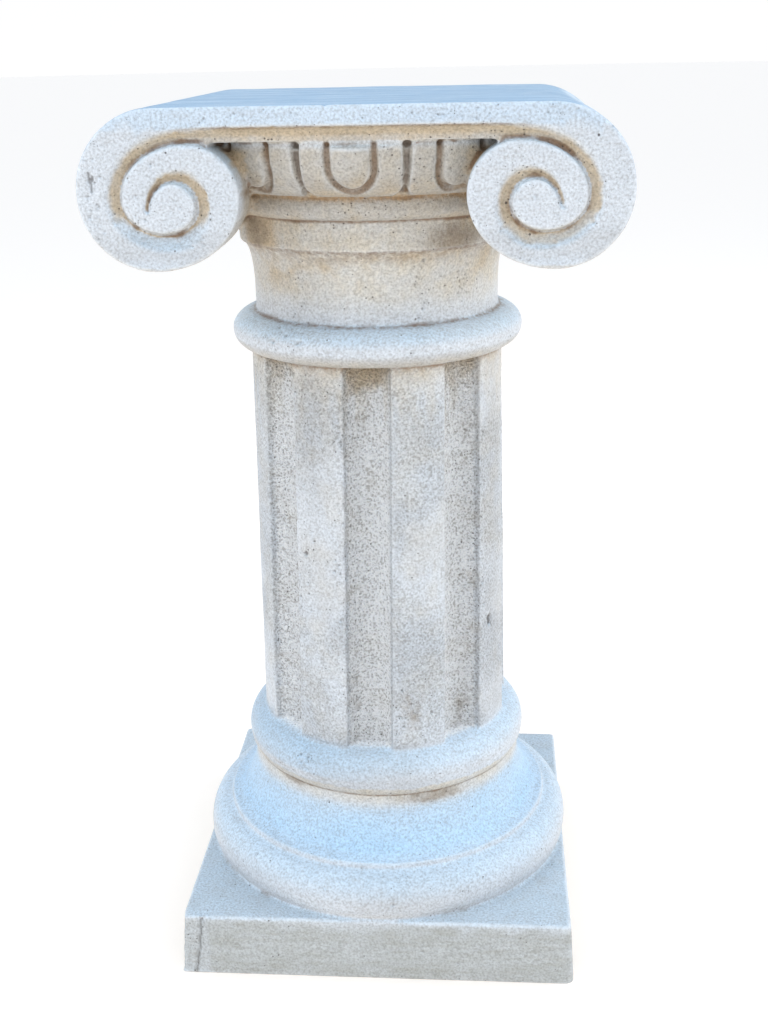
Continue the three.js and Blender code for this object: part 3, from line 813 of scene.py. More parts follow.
def nearest_on_ray(tree, turn, height):
    """Nearest surface point to where a level line towards the axis meets the surface."""
    out = np.array([math.sin(turn), -math.cos(turn), 0])
    best = None
    for radius in np.arange(150, 70, -2):
        spot = out * radius + [0, 0, height]
        found, index, distance = tree.find(spot)
        if best is None or distance < best[2]:
            best = (found, index, distance)
        if distance < 1.6:
            break
    return best[0]


def cut_pits(place, tree, pits):
    """How deep each point is sunk by the pits."""
    sunk = np.zeros(len(place.points))
    for kind, spot, size, depth in pits:
        if kind == "round":
            centre = nearest_on_ray(tree, *spot)
        elif kind == "face":
            centre = tree.find((spot[0], -FRONT, spot[1]))[0]
        else:
            centre = spot
        if centre[2] < PIT_LOWEST:
            continue
        for _, index, distance in tree.find_range(centre, size * 1.6):
            sunk[index] = max(sunk[index], depth * math.exp(-(distance / size) ** 2))
    return sunk


def grain_mask(place):
    """Where the rough granular finish is: in the flutes and over most of the shaft."""
    sunk = ramp(up_shaft(SHAFT_FOOT_RADIUS, SHAFT_TOP_RADIUS, place.z) - place.radius, 0.5, 4)
    patchy = place.texture(45, 30, -0.5, 0.4)
    return place.between(SHAFT_FOOT + 2, SHAFT_TOP - 1) * np.clip(sunk + 0.55 * patchy, 0, 1)


def shape_changes(place, hollow):
    """Inward moves in millimetres that make the even block a worn casting."""
    points = place.points
    inward = 0
    for depth, length, seed in ((WAVE, WAVE_LENGTH, SEED), (RIPPLE, RIPPLE_LENGTH, SEED + 5)):
        noise = (layered_noise(points, length, seed, 2) + 1.2) / 2.4
        inward = inward + depth * np.clip(noise, 0, 1)
    inward += GRAIN * grain_mask(place) * (lattice_noise(points, GRAIN_LENGTH, SEED + 8) + 1)
    chipped = ramp(layered_noise(points, 9, SEED + 12), 0.1, 0.9)
    return inward + EDGE_WEAR * ramp(-hollow, 0.25, 0.9) * (0.25 + chipped)


def plinth_changes(place):
    """Inward moves of the plinth: its rough front left corner and the crack there."""
    points = place.points
    half = PLINTH_SIDE / 2 + PLINTH_DRAFT
    from_left = place.x + half
    on_plinth = 1 - ramp(place.z, PLINTH_HEIGHT - 1, PLINTH_HEIGHT + 2)
    near_front = ramp(-place.y, half - 12, half - 7)
    patch_edge = PATCH_WIDTH + 1.5 * lattice_noise(points, 8, SEED + 20)
    patch = on_plinth * near_front * (1 - ramp(from_left, patch_edge - 1, patch_edge + 1))
    rough = patch * (0.5 + 0.5 * layered_noise(points, 4.5, SEED + 21))
    line = CRACK_FOOT + (CRACK_TOP - CRACK_FOOT) * place.z / PLINTH_HEIGHT
    line = line + 1.5 * lattice_noise(points, 11, SEED + 22)
    crack = on_plinth * near_front * hump(from_left, line, 1.0)
    return 0.5 * patch + 0.6 * rough + 1.6 * crack


def worn_corners(points):
    """Points of the plinth's upright corners drawn in to a rounded corner."""
    moved = points.copy()
    half = PLINTH_SIDE / 2 + PLINTH_DRAFT * (1 - points[:, 2] / PLINTH_HEIGHT)
    rounding = CORNER_ROUNDING * (1 + 0.4 * lattice_noise(points, 25, SEED + 25))
    low_front_right = (points[:, 0] > 0) & (points[:, 1] < 0)
    rounding += np.where(low_front_right, 5 * (1 - ramp(points[:, 2], 0, 12)), 0)
    core = (half - rounding)[:, None]
    over = np.maximum(np.abs(points[:, :2]) - core, 0)
    reach = np.hypot(over[:, 0], over[:, 1])
    corner = (points[:, 2] < PLINTH_HEIGHT) & (over.min(axis=1) > 0) & (reach > rounding)
    scale = np.where(corner, rounding / np.maximum(reach, 1e-6), 1)
    pulled = np.sign(points[:, :2]) * (core + over * scale[:, None])
    moved[corner, :2] = pulled[corner]
    return moved


def channel_floor(place):
    """Share by which a point is on a channel's floor, and not on its band, coil or outer edge."""
    across = np.maximum(place.across_eye, -EYE_BELOW_SLAB_TOP)
    reach = np.maximum(np.hypot(across, place.above_eye), 1)
    tilt_out = place.normals[:, 0] * np.sign(place.x) * across + place.facing_up * place.above_eye
    over_eggs = 1 - ramp(np.abs(place.x), 70, 90)
    deepest = CHANNEL_DEPTH + 1.5 + (CHANNEL_MIDDLE_DEPTH - CHANNEL_DEPTH) * over_eggs
    deep = ramp(place.sunk, 0.9, 2.6) * (1 - ramp(place.sunk, deepest, deepest + 1.5))
    faces_out = np.maximum(ramp(place.facing_front, 0.3, 0.6), over_eggs)
    not_rim = 1 - ramp(tilt_out / reach, 0.25, 0.5)
    on_slab = ramp(place.z, SLAB_FOOT - 1, SLAB_FOOT + 0.5)
    on_volute = ramp(place.radius, VOLUTES_FROM, VOLUTES_FROM + 2)
    on_capital = ramp(place.above_eye, -EYE_BELOW_SLAB_TOP, -EYE_BELOW_SLAB_TOP + 5)
    return deep * faces_out * not_rim * np.maximum(on_slab, on_volute) * on_capital


def inner_channel(place):
    """Share by which a point is on the innermost turn of a channel, most at its shaded upper side."""
    reach = np.hypot(place.across_eye, place.above_eye)
    shaded = ramp(place.above_eye - 0.6 * place.across_eye, -16, 10)
    return channel_floor(place) * (1 - ramp(reach, 24, 32)) * shaded


def tan_stain_and_shade(place, hollow_wide):
    """Warm tan, partly stain and partly painted shade: channel floors that look down or aside, the neck's
    upper part and its hollows.
    """
    cap, patchy, blotchy = place.under_cap, place.patchy, place.blotchy
    upturned_foot = np.where(place.x < 0, 0.9, 0.35) * ramp(place.facing_up, 0.1, 0.45)
    slab_foot_band = 0.3 * place.between(SLAB_FOOT - 2, SLAB_FOOT + 4)
    under_lip = ramp(place.z, NECK_LIP_FOOT - 12 - 8 * blotchy, NECK_LIP_FOOT)
    under_lip = under_lip * place.between(NECK_FOOT, NECK_LIP_FOOT)
    tan = np.maximum.reduce([
        channel_floor(place) * (1 - upturned_foot) * (1 - slab_foot_band) * (0.85 + 0.15 * patchy),
        0.3 * cap * place.between(NECK_FLARE_FOOT - 12, NECK_LIP_FOOT) * blotchy,
        0.75 * under_lip * (0.5 + 0.5 * blotchy),
        place.patches(NECK_TAN) * (0.35 + 0.5 * blotchy) * cap,
        ramp(hollow_wide, 0.4, 2.6) * cap * (0.55 + 0.45 * patchy),
        0.5 * ramp(-place.facing_up, 0.25, 0.8) * cap * (0.5 + 0.5 * blotchy),
    ])
    shoulders = cap * ramp(place.z, SLAB_FOOT - 7, SLAB_FOOT - 3)
    tan = np.maximum(tan * (1 - 0.75 * shoulders), place.patches(CORNER_TAN) * cap)
    below_ring = ramp(place.z, SHAFT_TOP - 14 - 26 * blotchy, SHAFT_TOP - 2)
    below_ring = below_ring * place.between(SHAFT_FOOT, SHAFT_TOP)
    in_flutes = 0.3 + 0.7 * ramp(place.flute_depth, 1.5, 7)
    return np.maximum(tan, 0.85 * below_ring * in_flutes * (0.5 + 0.5 * patchy))


def shaft_grime_and_wall_shade(place):
    """Grey-brown dirt: below the ring, at the flutes' feet and in patches on the shaft, with painted shade
    down two flute walls.
    """
    flute = ramp(place.flute_depth, 1.5, 7)
    fade = 26 + 20 * layered_noise(place.points * [1, 1, 0.16], 5, SEED + 50)
    below_ring = np.clip(1 - (SHAFT_TOP - place.z) / np.maximum(fade, 4), 0, 1)
    dirt = np.maximum(
        0.4 * flute * below_ring * (0.55 + 0.45 * place.blotchy),
        0.65 * place.patch(-52, 400, 7, 45) * place.speckled * flute,
    )
    for least, texture, share, *spot in SHAFT_DIRT_AND_WALL_SHADE:
        held = least + (1 - least) * getattr(place, texture)
        dirt = np.maximum(dirt, share * place.patch(*spot) * held)
    return dirt * place.on_shaft


def other_grime(place):
    """Grey-brown dirt on the neck band and under the upper torus."""
    band = place.between(NECK_BAND_FOOT - 4, ASTRAGAL_FOOT) * place.under_cap
    under_torus = place.between(SCOTIA_TOP - 11, SCOTIA_TOP + 2)
    return np.maximum(
        band * place.patches(BAND_SCUFFS) * (0.65 + 0.35 * place.blotchy),
        1.3 * under_torus * place.patches(TORUS_SPOTS) * (0.55 + 0.45 * place.speckled),
    )


def cream_and_warm_shade(place):
    """Faint cream stain on the shaft, most below the ring, and painted warm shade on undersides, the neck
    and the echinus.
    """
    streaked = place.texture(6, 53, -0.6, 0.8, 0.16)
    below_ring = np.clip(1 - (SHAFT_TOP - place.z) / (25 + 50 * streaked), 0, 1)
    shoulders = ramp(place.z, SLAB_FOOT - 6, SLAB_FOOT - 2)
    return np.maximum.reduce([
        place.on_shaft * np.maximum(below_ring, 0.35 * place.blotchy),
        0.9 * ramp(-place.facing_up, 0.15, 0.8),
        np.exp(-np.maximum(SCOTIA_TOP - place.z, 0) / 9) * (place.z < SCOTIA_TOP + 6),
        place.under_cap * (1 - 0.7 * shoulders),
    ])


def painted_sky_tint(place):
    """Painted blue sky light: in the scotia, on the upper torus and lightly on the slab's front and the
    rims.
    """
    torus = place.between(SCOTIA_TOP + 12, SHAFT_FOOT + 3) * off_shaft(place)
    rims = ramp(place.radius, VOLUTES_FROM, VOLUTES_FROM + 4) * (1 - ramp(place.above_eye, -45, -25))
    return np.maximum.reduce([
        0.9 * place.between(SCOTIA_FOOT + 1, SCOTIA_TOP - 10, 5) * (0.8 + 0.2 * place.patchy),
        0.4 * torus * (1 - ramp(place.x, -60, 20)),
        0.3 * ramp(place.z, BAND_LINE - 2, BAND_LINE) * ramp(place.facing_front, 0.5, 0.9),
        0.2 * rims * ramp(place.z, 480, 490),
    ])


def off_shaft(place):
    """1 outside the shaft's foot, 0 on it."""
    return ramp(place.radius, SHAFT_FOOT_RADIUS - 2, SHAFT_FOOT_RADIUS)


def painted_shade_and_scuff(place):
    """Painted shade, and a scuff of dirt on the neck band: on the echinus, the astragal, the ring and parts
    of the rest.
    """
    shoulders = 1 - 0.8 * ramp(place.z, SLAB_FOOT - 7, SLAB_FOOT - 2)
    carved = place.under_cap * ramp(place.z, ECHINUS_FOOT - 1, ECHINUS_FOOT + 1) * shoulders
    foot_of_eggs = carved * (1 - ramp(place.z, ECHINUS_FOOT + 4, ECHINUS_FOOT + 18))
    not_flute = 1 - ramp(place.flute_depth, 0.5, 3)
    scuff = place.patch(37, 522, 13, 9) * place.between(NECK_BAND_FOOT - 3, ASTRAGAL_FOOT)
    torus = place.between(SCOTIA_TOP, SHAFT_FOOT + 3) * off_shaft(place)
    return sum([
        0.75 * carved,
        0.5 * foot_of_eggs * place.blotchy,
        0.7 * place.under_cap * place.between(ASTRAGAL_FOOT, ECHINUS_FOOT),
        0.7 * place.on_shaft * not_flute * (place.patches(SHAFT_BAND_SHADE) + 0.2 * place.patchy),
        0.8 * scuff * place.under_cap,
        0.35 * torus * (1 - ramp(place.x, 20, 60)),
        0.3 * place.between(PLINTH_HEIGHT, LOWER_TORUS_TOP) * place.patch(8, 63, 22, 30),
        0.5 * place.between(SHAFT_TOP - 1, SHAFT_TOP + 9),
        0.3 * place.between(NECK_BAND_FOOT, ASTRAGAL_FOOT),
    ])


def crease_weights(place):
    """How strongly the creases of each part hold brown dirt and painted shade."""
    z = place.z
    channel = ramp(place.sunk, 1, 3) * (1 - ramp(place.sunk, 8, 11)) * ramp(place.above_eye, -45, -40)
    channel = channel * ramp(place.radius, VOLUTES_FROM, VOLUTES_FROM + 4)
    weight = np.maximum(place.under_cap, channel)
    for share, height, reach in CREASES:
        weight = weight + share * hump(z, height, reach)
    return np.clip(weight, 0, 1) * (0.35 + 0.65 * place.blotchy)


def stain_masks(place, hollow, hollow_wide):
    """Shares from 0 to 1 of each finish at each point, by where the point is."""
    x, y, z = place.x, place.y, place.z
    blotchy, speckled = place.blotchy, place.speckled
    crease = ramp(hollow, 0.06, 0.42) * crease_weights(place)
    crease = np.maximum(crease, 0.55 * inner_channel(place) * (0.6 + 0.4 * blotchy))

    # The plinth's sides take dirt and painted shade, less of it on the rough patch
    half = PLINTH_SIDE / 2
    plinth_face = 1 - ramp(z, PLINTH_HEIGHT - 5, PLINTH_HEIGHT - 1)
    plinth_face = plinth_face * (1 - ramp(place.facing_up, 0.3, 0.7))
    patch = plinth_face * (1 - ramp(x + half, PATCH_WIDTH - 5, PATCH_WIDTH - 2))
    patch = patch * ramp(-y, half - 8, half - 4)
    plinth_dirt_and_shade = plinth_face * (0.85 + 0.15 * place.patchy) * (1 - 0.35 * patch)
    plinth_top = place.between(PLINTH_HEIGHT - 2, PLINTH_HEIGHT + 2) * ramp(place.facing_up, 0.5, 0.8)

    beyond_egg, from_dart = from_egg(np.radians(place.angle), z)
    on_echinus = place.between(ECHINUS_FOOT, SLAB_FOOT, 1) * place.under_cap
    echinus = place.under_cap * ramp(z, ECHINUS_FOOT, ECHINUS_FOOT + 4)

    flute = ramp(place.flute_depth, 1, 6) * place.between(SHAFT_FOOT + 1, SHAFT_TOP, 1)
    left_wall = place.patch(-10.5, 300, 3.2, 400) * flute
    slab_edge = ramp(z, SLAB_FOOT, SLAB_FOOT + 4) * (1 - ramp(place.facing_up, 0.3, 0.6))
    clusters = place.patches(
        (min(1, count / 16), angle, height, 1.5 * spread, 1.5 * min(rise, 30))
        for angle, height, spread, rise, count in PIT_CLUSTERS
    )
    masks = {
        # brown dirt and painted shade in creases
        "crease": crease,
        # tan stain, and painted shade
        "tan": tan_stain_and_shade(place, hollow_wide),
        # grey-brown dirt, and painted shade down two flute walls
        "grime_and_wall_shade": np.maximum(shaft_grime_and_wall_shade(place), other_grime(place)),
        # painted shade in the dart slots
        "dart": echinus * (1 - ramp(from_dart, 1.8, 3.2)) * ramp(hollow, 0, 0.3),
        "plinth_dirt_and_shade": np.maximum(plinth_dirt_and_shade, 0.3 * plinth_top),
        "grain": grain_mask(place),
        "pores": sum([
            0.05 + 0.3 * speckled * blotchy + 0.9 * left_wall + 0.14 * flute + 0.6 * patch,
            0.2 * channel_floor(place) + 0.3 * slab_edge * speckled + 0.6 * clusters,
        ]),
        # worn convex edges, with a painted highlight
        "edge": ramp(-hollow, 0.15, 0.7),
        # cream stain, and painted warm shade under things
        "cream": cream_and_warm_shade(place),
        "groove": on_echinus * ramp(np.abs(beyond_egg), 2.6, 1.0),
        # where the flutes get painted light
        "flute": flute,
        # painted blue sky light
        "sky": painted_sky_tint(place),
        # painted shade, and a scuff of dirt
        "shade": painted_shade_and_scuff(place),
    }
    return {name: np.clip(values, 0, 1) for name, values in masks.items()}


def copied(mesh, name):
    obj = bpy.data.objects.new(name, mesh)
    bpy.context.scene.collection.objects.link(obj)
    return obj


def applied(obj, name):
    """The mesh that an object's modifiers make of it. The object is removed."""
    graph = bpy.context.evaluated_depsgraph_get()
    mesh = bpy.data.meshes.new_from_object(obj.evaluated_get(graph))
    bpy.data.objects.remove(obj)
    mesh.name = name
    return mesh


def hollows(mesh, points, rounds):
    """How far each point lies below the mean of its surroundings, in millimetres."""
    edges = read_edges(mesh)
    degree = np.bincount(edges.ravel(), minlength=len(points)).astype(float)
    normals = read_normals(mesh, points)
    around = softened(points, edges, degree, rounds)
    return ((around - points) * normals).sum(axis=1), normals


def wide_hollows(mesh, places):
    """How far below their wider surroundings the given places lie, from a coarser mesh."""
    obj = copied(mesh, "coarse")
    voxels = obj.modifiers.new("coarse", "REMESH")
    voxels.mode = "VOXEL"
    voxels.voxel_size = COARSE_VOXEL
    coarse = applied(obj, "coarse")
    points = read_points(coarse)
    depth, _ = hollows(coarse, points, COARSE_ROUNDS)
    tree = surface_tree(points)
    bpy.data.meshes.remove(coarse)
    return depth[[tree.find(place)[1] for place in places]]


def decimated(mesh):
    """The mesh with fewer faces, most of them kept where the form turns."""
    triangles = sum(len(face.vertices) - 2 for face in mesh.polygons)
    obj = copied(mesh, "block")
    fewer = obj.modifiers.new("fewer", "DECIMATE")
    fewer.ratio = min(1, TARGET_TRIANGLES / triangles)
    fewer.use_collapse_triangulate = True
    return applied(obj, "cast_pedestal")


def pedestal_mesh():
    """The finished mesh in metres, with its finish masks as attributes."""
    rng = np.random.default_rng(SEED)
    block = rough_block()
    edges = read_edges(block)
    degree = np.bincount(edges.ravel(), minlength=len(block.vertices)).astype(float)
    points = worn_corners(softened(read_points(block), edges, degree, SOFTEN_ROUNDS))
    hollow, normals = hollows(block, points, max(3, round(HOLLOW_REACH / VOXEL ** 2)))
    place = Place(points, normals)
    tree = surface_tree(points)
    pitted = cut_pits(place, tree, pit_places(place, rng))
    chipped = plinth_changes(place)
    inward = shape_changes(place, hollow) + pitted + chipped
    points = points - normals * (inward * ramp(points[:, 2], 0, FOOT_KEEP))[:, None]
    points[:, 2] = np.where(points[:, 2] < FOOT_KEEP / 2, 0, points[:, 2])
    points = np.clip(points, low_corner, high_corner)
    block.vertices.foreach_set("co", points.ravel())
    block.update()

    mesh = decimated(block)
    kept = read_points(mesh)
    nearest = [tree.find(point)[1] for point in kept]
    masks = stain_masks(Place(kept, normals[nearest]), hollow[nearest], wide_hollows(block, kept))
    # The cut pits and the deepest parts of the plinth's crack are painted dark as painted shade
    masks["pit"] = np.maximum(ramp(pitted, 0.5, 1.1), 0.8 * ramp(chipped, 1.6, 2.3))[nearest]
    bpy.data.meshes.remove(block)
    for name, values in masks.items():
        layer = mesh.attributes.new(name, "FLOAT", "POINT")
        layer.data.foreach_set("value", values)
    mesh.vertices.foreach_set("co", ((kept + AXIS_SHIFT) * MM).ravel())
    mesh.update()
    mesh.polygons.foreach_set("use_smooth", np.ones(len(mesh.polygons), bool))
    return mesh


class Nodes:
    """Short ways to build the stone's shader."""

    def __init__(self, material):
        self.tree = material.node_tree
        self.coords = self.tree.nodes.new("ShaderNodeTexCoord").outputs["Object"]

    def new(self, kind, inputs=None, **settings):
        node = self.tree.nodes.new(kind)
        for key, value in settings.items():
            setattr(node, key, value)
        for key, value in (inputs or {}).items():
            if isinstance(value, bpy.types.NodeSocket):
                self.tree.links.new(value, node.inputs[key])
            else:
                node.inputs[key].default_value = value
        return node

    def mask(self, name):
        return self.new("ShaderNodeAttribute", attribute_name=name, attribute_type="GEOMETRY").outputs["Fac"]

    def math(self, operation, first, second=None, clamp=False):
        inputs = {0: first} if second is None else {0: first, 1: second}
        return self.new("ShaderNodeMath", inputs, operation=operation, use_clamp=clamp).outputs[0]

    def ramp(self, value, start, end, low=0.0, high=1.0):
        inputs = {"Value": value, "From Min": start, "From Max": end, "To Min": low, "To Max": high}
        node = self.new("ShaderNodeMapRange", inputs, interpolation_type="SMOOTHSTEP")
        return node.outputs["Result"]

    def stretched(self, scale):
        inputs = {"Vector": self.coords, "Scale": scale}
        return self.new("ShaderNodeMapping", inputs).outputs["Vector"]

    def noise(self, scale, detail=4.0, roughness=0.55, vector=None):
        inputs = {"Vector": vector or self.coords, "Scale": scale, "Detail": detail, "Roughness": roughness}
        return self.new("ShaderNodeTexNoise", inputs).outputs["Fac"]

    def blend(self, share, first, second):
        """Colour from the first to the second by the share."""
        node = self.new("ShaderNodeMix", data_type="RGBA")
        for socket, value in ((node.inputs[0], share), (node.inputs[6], first), (node.inputs[7], second)):
            if isinstance(value, bpy.types.NodeSocket):
                self.tree.links.new(value, socket)
            else:
                socket.default_value = value if isinstance(value, float) else (*value, 1)
        return node.outputs[2]

    def shaded(self, share, color, tint):
        """The colour darkened by a tint, as far as the share says."""
        inputs = {0: share, 6: color, 7: (*tint, 1)}
        node = self.new("ShaderNodeMix", inputs, data_type="RGBA", blend_type="MULTIPLY")
        node.clamp_result = True
        return node.outputs[2]

    def pores(self, scale, size, amount):
        """Round dark openings in some of the cells: 1 in a pore and 0 outside."""
        cells = self.new("ShaderNodeTexVoronoi", {"Vector": self.coords, "Scale": scale, "Randomness": 1.0})
        parts = self.new("ShaderNodeSeparateColor", {"Color": cells.outputs["Color"]})
        present = self.math("LESS_THAN", parts.outputs["Red"], amount)
        reach = self.math("MULTIPLY", parts.outputs["Green"], size)
        gap = self.math("SUBTRACT", reach, cells.outputs["Distance"])
        return self.math("MULTIPLY", self.ramp(gap, -0.02, 0.04), present)


def cast_stone():
    """Lime washed cast stone: brown dirt and painted shade in the hollows, painted sky light on what faces
    up, granular in the flutes, with open pores.
    """
    material = bpy.data.materials.new("lime_washed_cast_stone")
    material.use_nodes = True
    material.node_tree.nodes.clear()
    nodes = Nodes(material)

    def times(*values):
        return functools.reduce(lambda a, b: nodes.math("MULTIPLY", a, b), values)

    def squared(value, middle):
        off = nodes.math("SUBTRACT", value, middle)
        return times(off, off)

    broad = nodes.noise(14.0, 5.0, 0.6)
    cloud = nodes.noise(55.0, 6.0, 0.65)
    fleck = nodes.noise(260.0, 4.0, 0.7)
    grit = nodes.noise(1100.0, 2.0, 0.6)
    pebble = nodes.noise(620.0, 2.0, 0.5)
    wipe = nodes.noise(1.0, 5.0, 0.65, nodes.stretched((45.0, 45.0, 260.0)))
    brushed = nodes.noise(1.0, 4.0, 0.6, nodes.stretched((14.0, 170.0, 14.0)))
    grain = nodes.mask("grain")

    normal = nodes.new("ShaderNodeNewGeometry").outputs["Normal"]
    up = nodes.new("ShaderNodeSeparateXYZ", {0: normal}).outputs["Z"]
    place = nodes.new("ShaderNodeSeparateXYZ", {0: nodes.coords})
    height = place.outputs["Z"]

    color = nodes.blend(nodes.ramp(broad, 0.36, 0.66), WASH, GREY_WASH)
    # Painted sky light: faces that look up are painted bluer
    painted_skylight_share = times(nodes.ramp(up, 0.0, 0.8), nodes.ramp(cloud, 0.3, 0.7, 0.75, 1.0))
    color = nodes.blend(painted_skylight_share, color, PAINTED_SKYLIGHT)
    # Painted light: the flutes are painted paler to offset their shade
    color = nodes.blend(nodes.mask("flute"), color, FLUTE_PAINTED_LIGHT)
    # Painted blue sky light
    color = nodes.blend(nodes.mask("sky"), color, PAINTED_SKY_BLUE)
    # Cream stain, and painted warm shade on undersides and under the capital
    color = nodes.blend(times(nodes.mask("cream"), nodes.ramp(cloud, 0.3, 0.75, 0.5, 1.0)), color, CREAM_AND_WARM_SHADE)

    def broken(name, low, high, texture):
        """A mask with its soft edge broken up by a texture."""
        lifted = nodes.math("ADD", nodes.mask(name), times(nodes.math("SUBTRACT", texture, 0.5), 0.9))
        return times(nodes.ramp(lifted, low, high), nodes.ramp(nodes.mask(name), 0.02, 0.25))

    # Painted shade, and a scuff of dirt on the neck band
    color = nodes.shaded(nodes.mask("shade"), color, SHADE)
    # Tan stain, and painted shade on channel floors that look down and in the neck's hollows
    color = nodes.blend(times(broken("tan", 0.1, 1.0, cloud), 0.9), color, TAN_STAIN_AND_SHADE)
    # Dirt and painted shade on the plinth's sides
    wiped = nodes.ramp(wipe, 0.35, 0.65, 1.0, 0.75)
    color = nodes.blend(times(nodes.mask("plinth_dirt_and_shade"), wiped), color, PLINTH_DIRT_AND_SHADE)
    # Grey-brown dirt, and painted shade down two flute walls
    color = nodes.blend(times(broken("grime_and_wall_shade", 0.2, 1.05, fleck), 0.75), color, GRIME_AND_WALL_SHADE)
    # Brown dirt and painted shade in the creases
    color = nodes.blend(times(broken("crease", 0.2, 1.0, cloud), 0.9), color, DIRT_AND_SHADE_BROWN)
    # Painted shade in the dart slots
    color = nodes.blend(times(nodes.mask("dart"), 0.9), color, DART_SLOT_SHADE)
    uneven = nodes.ramp(cloud, 0.3, 0.6, 0.45, 0.9)
    color = nodes.blend(times(nodes.mask("groove"), uneven), color, GROOVE_BROWN)

    across = squared(place.outputs["X"], AXIS_SHIFT[0] * MM)
    away = nodes.math("SQRT", nodes.math("ADD", across, squared(place.outputs["Y"], 0.0)))
    wobble = times(nodes.math("SUBTRACT", cloud, 0.5), LINE_WOBBLE * MM)
    rise = nodes.math("ADD", height, wobble)
    on_round = nodes.ramp(away, LINE_RADIUS * MM, (LINE_RADIUS - 2) * MM)
    sideways = nodes.math("ABSOLUTE", place.outputs["X"])
    forward = nodes.math("ABSOLUTE", place.outputs["Y"])
    in_channel = times(
        nodes.ramp(forward, (FRONT - 0.4) * MM, (FRONT - 1.2) * MM),
        nodes.ramp(forward, (FRONT - 13) * MM, (FRONT - 12) * MM),
        nodes.ramp(sideways, (EYE_OFFSET + 6) * MM, (EYE_OFFSET - 6) * MM),
    )
    # Lines of rust, and of brown dirt and painted shade along the creases and the channels' upper edge
    stripes = [(line, RUST, on_round) for line in RUST_LINES]
    stripes += [(line, DIRT_AND_SHADE_BROWN, on_round) for line in DIRT_AND_SHADE_LINES]
    stripes.append((CHANNEL_DIRT_AND_SHADE_LINE, DIRT_AND_SHADE_BROWN, in_channel))
    for (level, above, below, share, evenness), line_color, where in stripes:
        upper = nodes.ramp(rise, (level + above) * MM, level * MM)
        lower = nodes.ramp(rise, (level - below) * MM, level * MM)
        held = nodes.ramp(fleck, 0.35, 0.62, evenness, 1.0)
        color = nodes.blend(times(upper, lower, held, where, share), color, line_color)

    # Painted shade and painted highlights of the fine grain, in place of its shading
    coarse = nodes.math("ADD", times(grain, 0.4), 0.5)
    color = nodes.shaded(times(nodes.ramp(pebble, 0.5, 0.34), coarse), color, GRAIN_PAINTED_SHADE)
    color = nodes.shaded(times(nodes.ramp(pebble, 0.5, 0.66), coarse), color, GRAIN_PAINTED_HIGHLIGHT)
    color = nodes.blend(times(nodes.ramp(grit, 0.52, 0.3), 0.12), color, GRIME_AND_WALL_SHADE)
    color = nodes.blend(times(nodes.ramp(wipe, 0.5, 0.3), 0.12), color, GRIME_AND_WALL_SHADE)
    # Worn convex edges painted paler, partly a painted highlight
    light = times(nodes.mask("edge"), nodes.ramp(cloud, 0.3, 0.65, 0.25, 0.8))
    color = nodes.blend(light, color, EDGE_WEAR_AND_HIGHLIGHT)

    density = nodes.mask("pores")
    small = nodes.pores(480.0, 0.30, times(density, 0.6))
    large = nodes.pores(210.0, 0.17, times(density, 0.25))
    pore = nodes.math("MAXIMUM", small, large)
    # Painted shade in the pores and the cut pits
    color = nodes.blend(times(pore, 0.8), color, PIT_AND_PORE_SHADE)
    color = nodes.blend(times(nodes.mask("pit"), 0.65), color, PIT_AND_PORE_SHADE)

    # Painted sky reflection on the slab's top, streaked along the brush strokes
    on_top = times(nodes.ramp(up, 0.8, 0.98), nodes.ramp(height, (SLAB_TOP - 6) * MM, (SLAB_TOP - 2) * MM))
    slab = nodes.blend(nodes.ramp(brushed, 0.42, 0.62), SLAB_TOP_PAINTED_SKY, SLAB_TOP_PAINTED_STREAK)
    color = nodes.blend(times(on_top, 0.9), color, slab)

    relief = times(fleck, 0.9)
    layers = (
        (times(pebble, grain), 4.5), (grit, 0.8), (times(grit, grain), 1.2), (wipe, 0.9),
        (times(brushed, on_top), 0.6), (pore, -1.5),
    )
    for texture, amount in layers:
        relief = nodes.math("ADD", relief, times(texture, amount))
    bump = nodes.new("ShaderNodeBump", {"Height": relief, "Strength": 1.0, "Distance": 0.001})

    rough = nodes.ramp(cloud, 0.3, 0.7, 0.32, 0.5)
    rough = nodes.math("ADD", rough, times(nodes.mask("tan"), 0.2))
    rough = nodes.math("ADD", rough, times(grain, 0.15), clamp=True)
    shader = nodes.new("ShaderNodeBsdfPrincipled", {
        "Base Color": color,
        "Roughness": rough,
        "Specular IOR Level": 0.5,
        "Normal": bump.outputs["Normal"],
    })
    output = nodes.new("ShaderNodeOutputMaterial")
    material.node_tree.links.new(shader.outputs["BSDF"], output.inputs["Surface"])
    return material


def pedestal():
    """The whole cast pedestal, in place of its plain solid."""
    mesh = pedestal_mesh()
    mesh.materials.clear()
    mesh.materials.append(cast_stone())
    piece = bpy.data.objects.new("cast_pedestal", mesh)
    bpy.context.scene.collection.objects.link(piece)
    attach(piece, "root")
    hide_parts("pedestal")
    return piece


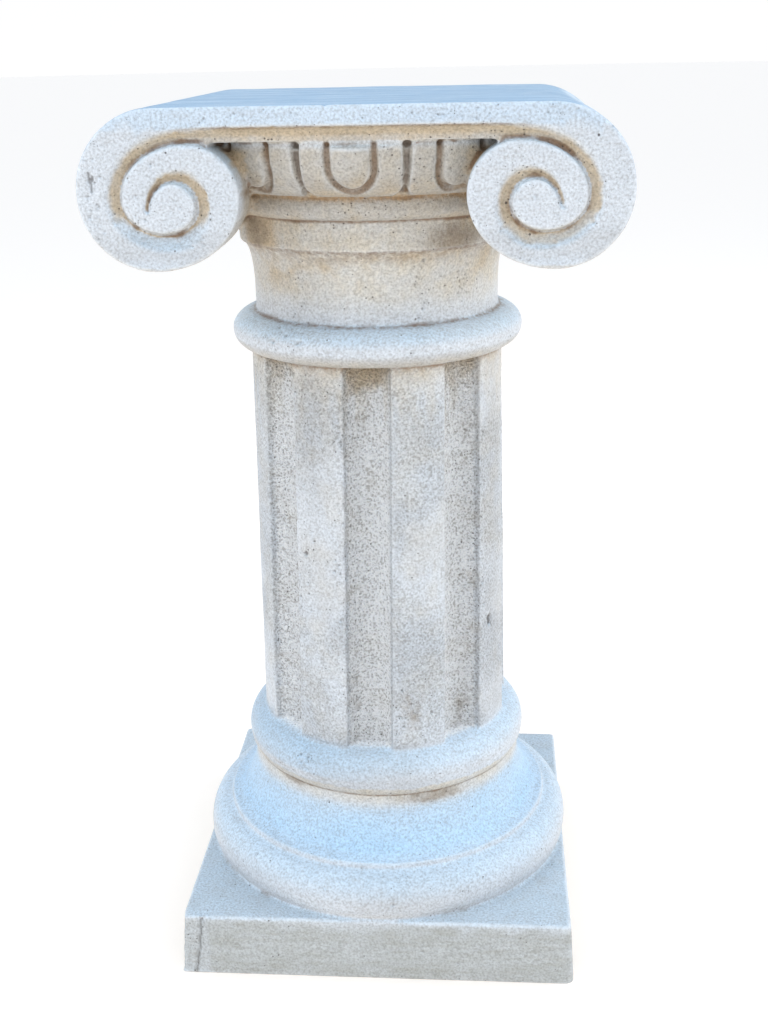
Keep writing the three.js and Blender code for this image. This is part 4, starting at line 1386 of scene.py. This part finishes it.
def camera():
    """Camera at the photograph's angle: turned to the left, looking down and rolled a little."""
    forward = np.array([
        -math.sin(CAMERA_YAW) * math.cos(CAMERA_PITCH),
        math.cos(CAMERA_YAW) * math.cos(CAMERA_PITCH),
        -math.sin(CAMERA_PITCH),
    ])
    level = np.array([math.cos(CAMERA_YAW), math.sin(CAMERA_YAW), 0])
    above = np.cross(level, forward)
    right = math.cos(CAMERA_ROLL) * level + math.sin(CAMERA_ROLL) * above
    up = -math.sin(CAMERA_ROLL) * level + math.cos(CAMERA_ROLL) * above
    data = bpy.data.cameras.new("photo_camera")
    data.sensor_fit = "VERTICAL"
    data.sensor_height = SENSOR
    data.lens = FOCAL_PIXELS * SENSOR / FRAME_HEIGHT
    obj = bpy.data.objects.new("photo_camera", data)
    turn = Matrix([right, up, -forward]).transposed().to_4x4()
    obj.matrix_world = Matrix.Translation(AXIS_SHIFT * MM) @ Matrix.Translation(CAMERA_PLACE) @ turn
    bpy.context.scene.collection.objects.link(obj)
    bpy.context.scene.camera = obj


def floor():
    """Plain pale floor that reaches to the horizon."""
    work = bmesh.new()
    bmesh.ops.create_circle(work, cap_ends=True, segments=64, radius=FLOOR_RADIUS)
    mesh = bpy.data.meshes.new("floor")
    work.to_mesh(mesh)
    work.free()
    material = bpy.data.materials.new("pale_floor")
    material.use_nodes = True
    shader = material.node_tree.nodes["Principled BSDF"]
    shader.inputs["Base Color"].default_value = FLOOR_COLOR
    shader.inputs["Roughness"].default_value = 0.9
    shader.inputs["Specular IOR Level"].default_value = 0.1
    shader.inputs["Emission Color"].default_value = FLOOR_GLOW
    shader.inputs["Emission Strength"].default_value = FLOOR_GLOW_STRENGTH
    mesh.materials.append(material)
    obj = bpy.data.objects.new("floor", mesh)
    bpy.context.scene.collection.objects.link(obj)


def soft_light(name, place, size, power, color):
    """Square soft light at a place, turned to the middle of the pedestal."""
    data = bpy.data.lights.new(name, "AREA")
    data.shape = "SQUARE"
    data.size = size
    data.energy = power
    data.color = color
    obj = bpy.data.objects.new(name, data)
    aim = Vector(place) - Vector(LIGHT_TARGET)
    obj.matrix_world = Matrix.Translation(place) @ aim.to_track_quat("Z", "Y").to_matrix().to_4x4()
    bpy.context.scene.collection.objects.link(obj)


def studio():
    """Overcast sky, white at the horizon and blue overhead, with two soft windows and a fill."""
    world = bpy.data.worlds.new("studio")
    world.use_nodes = True
    nodes = Nodes(world)
    direction = nodes.new("ShaderNodeTexCoord").outputs["Generated"]
    rise = nodes.new("ShaderNodeSeparateXYZ", {0: direction}).outputs["Z"]
    sky = nodes.blend(nodes.math("MAXIMUM", rise, 0.0), HORIZON, ZENITH)
    background = world.node_tree.nodes["Background"]
    world.node_tree.links.new(sky, background.inputs["Color"])
    background.inputs["Strength"].default_value = SKY_STRENGTH
    bpy.context.scene.world = world
    for light in LIGHTS:
        soft_light(*light)
    bpy.context.scene.view_settings.view_transform = "Standard"


camera()
floor()
studio()
pedestal()
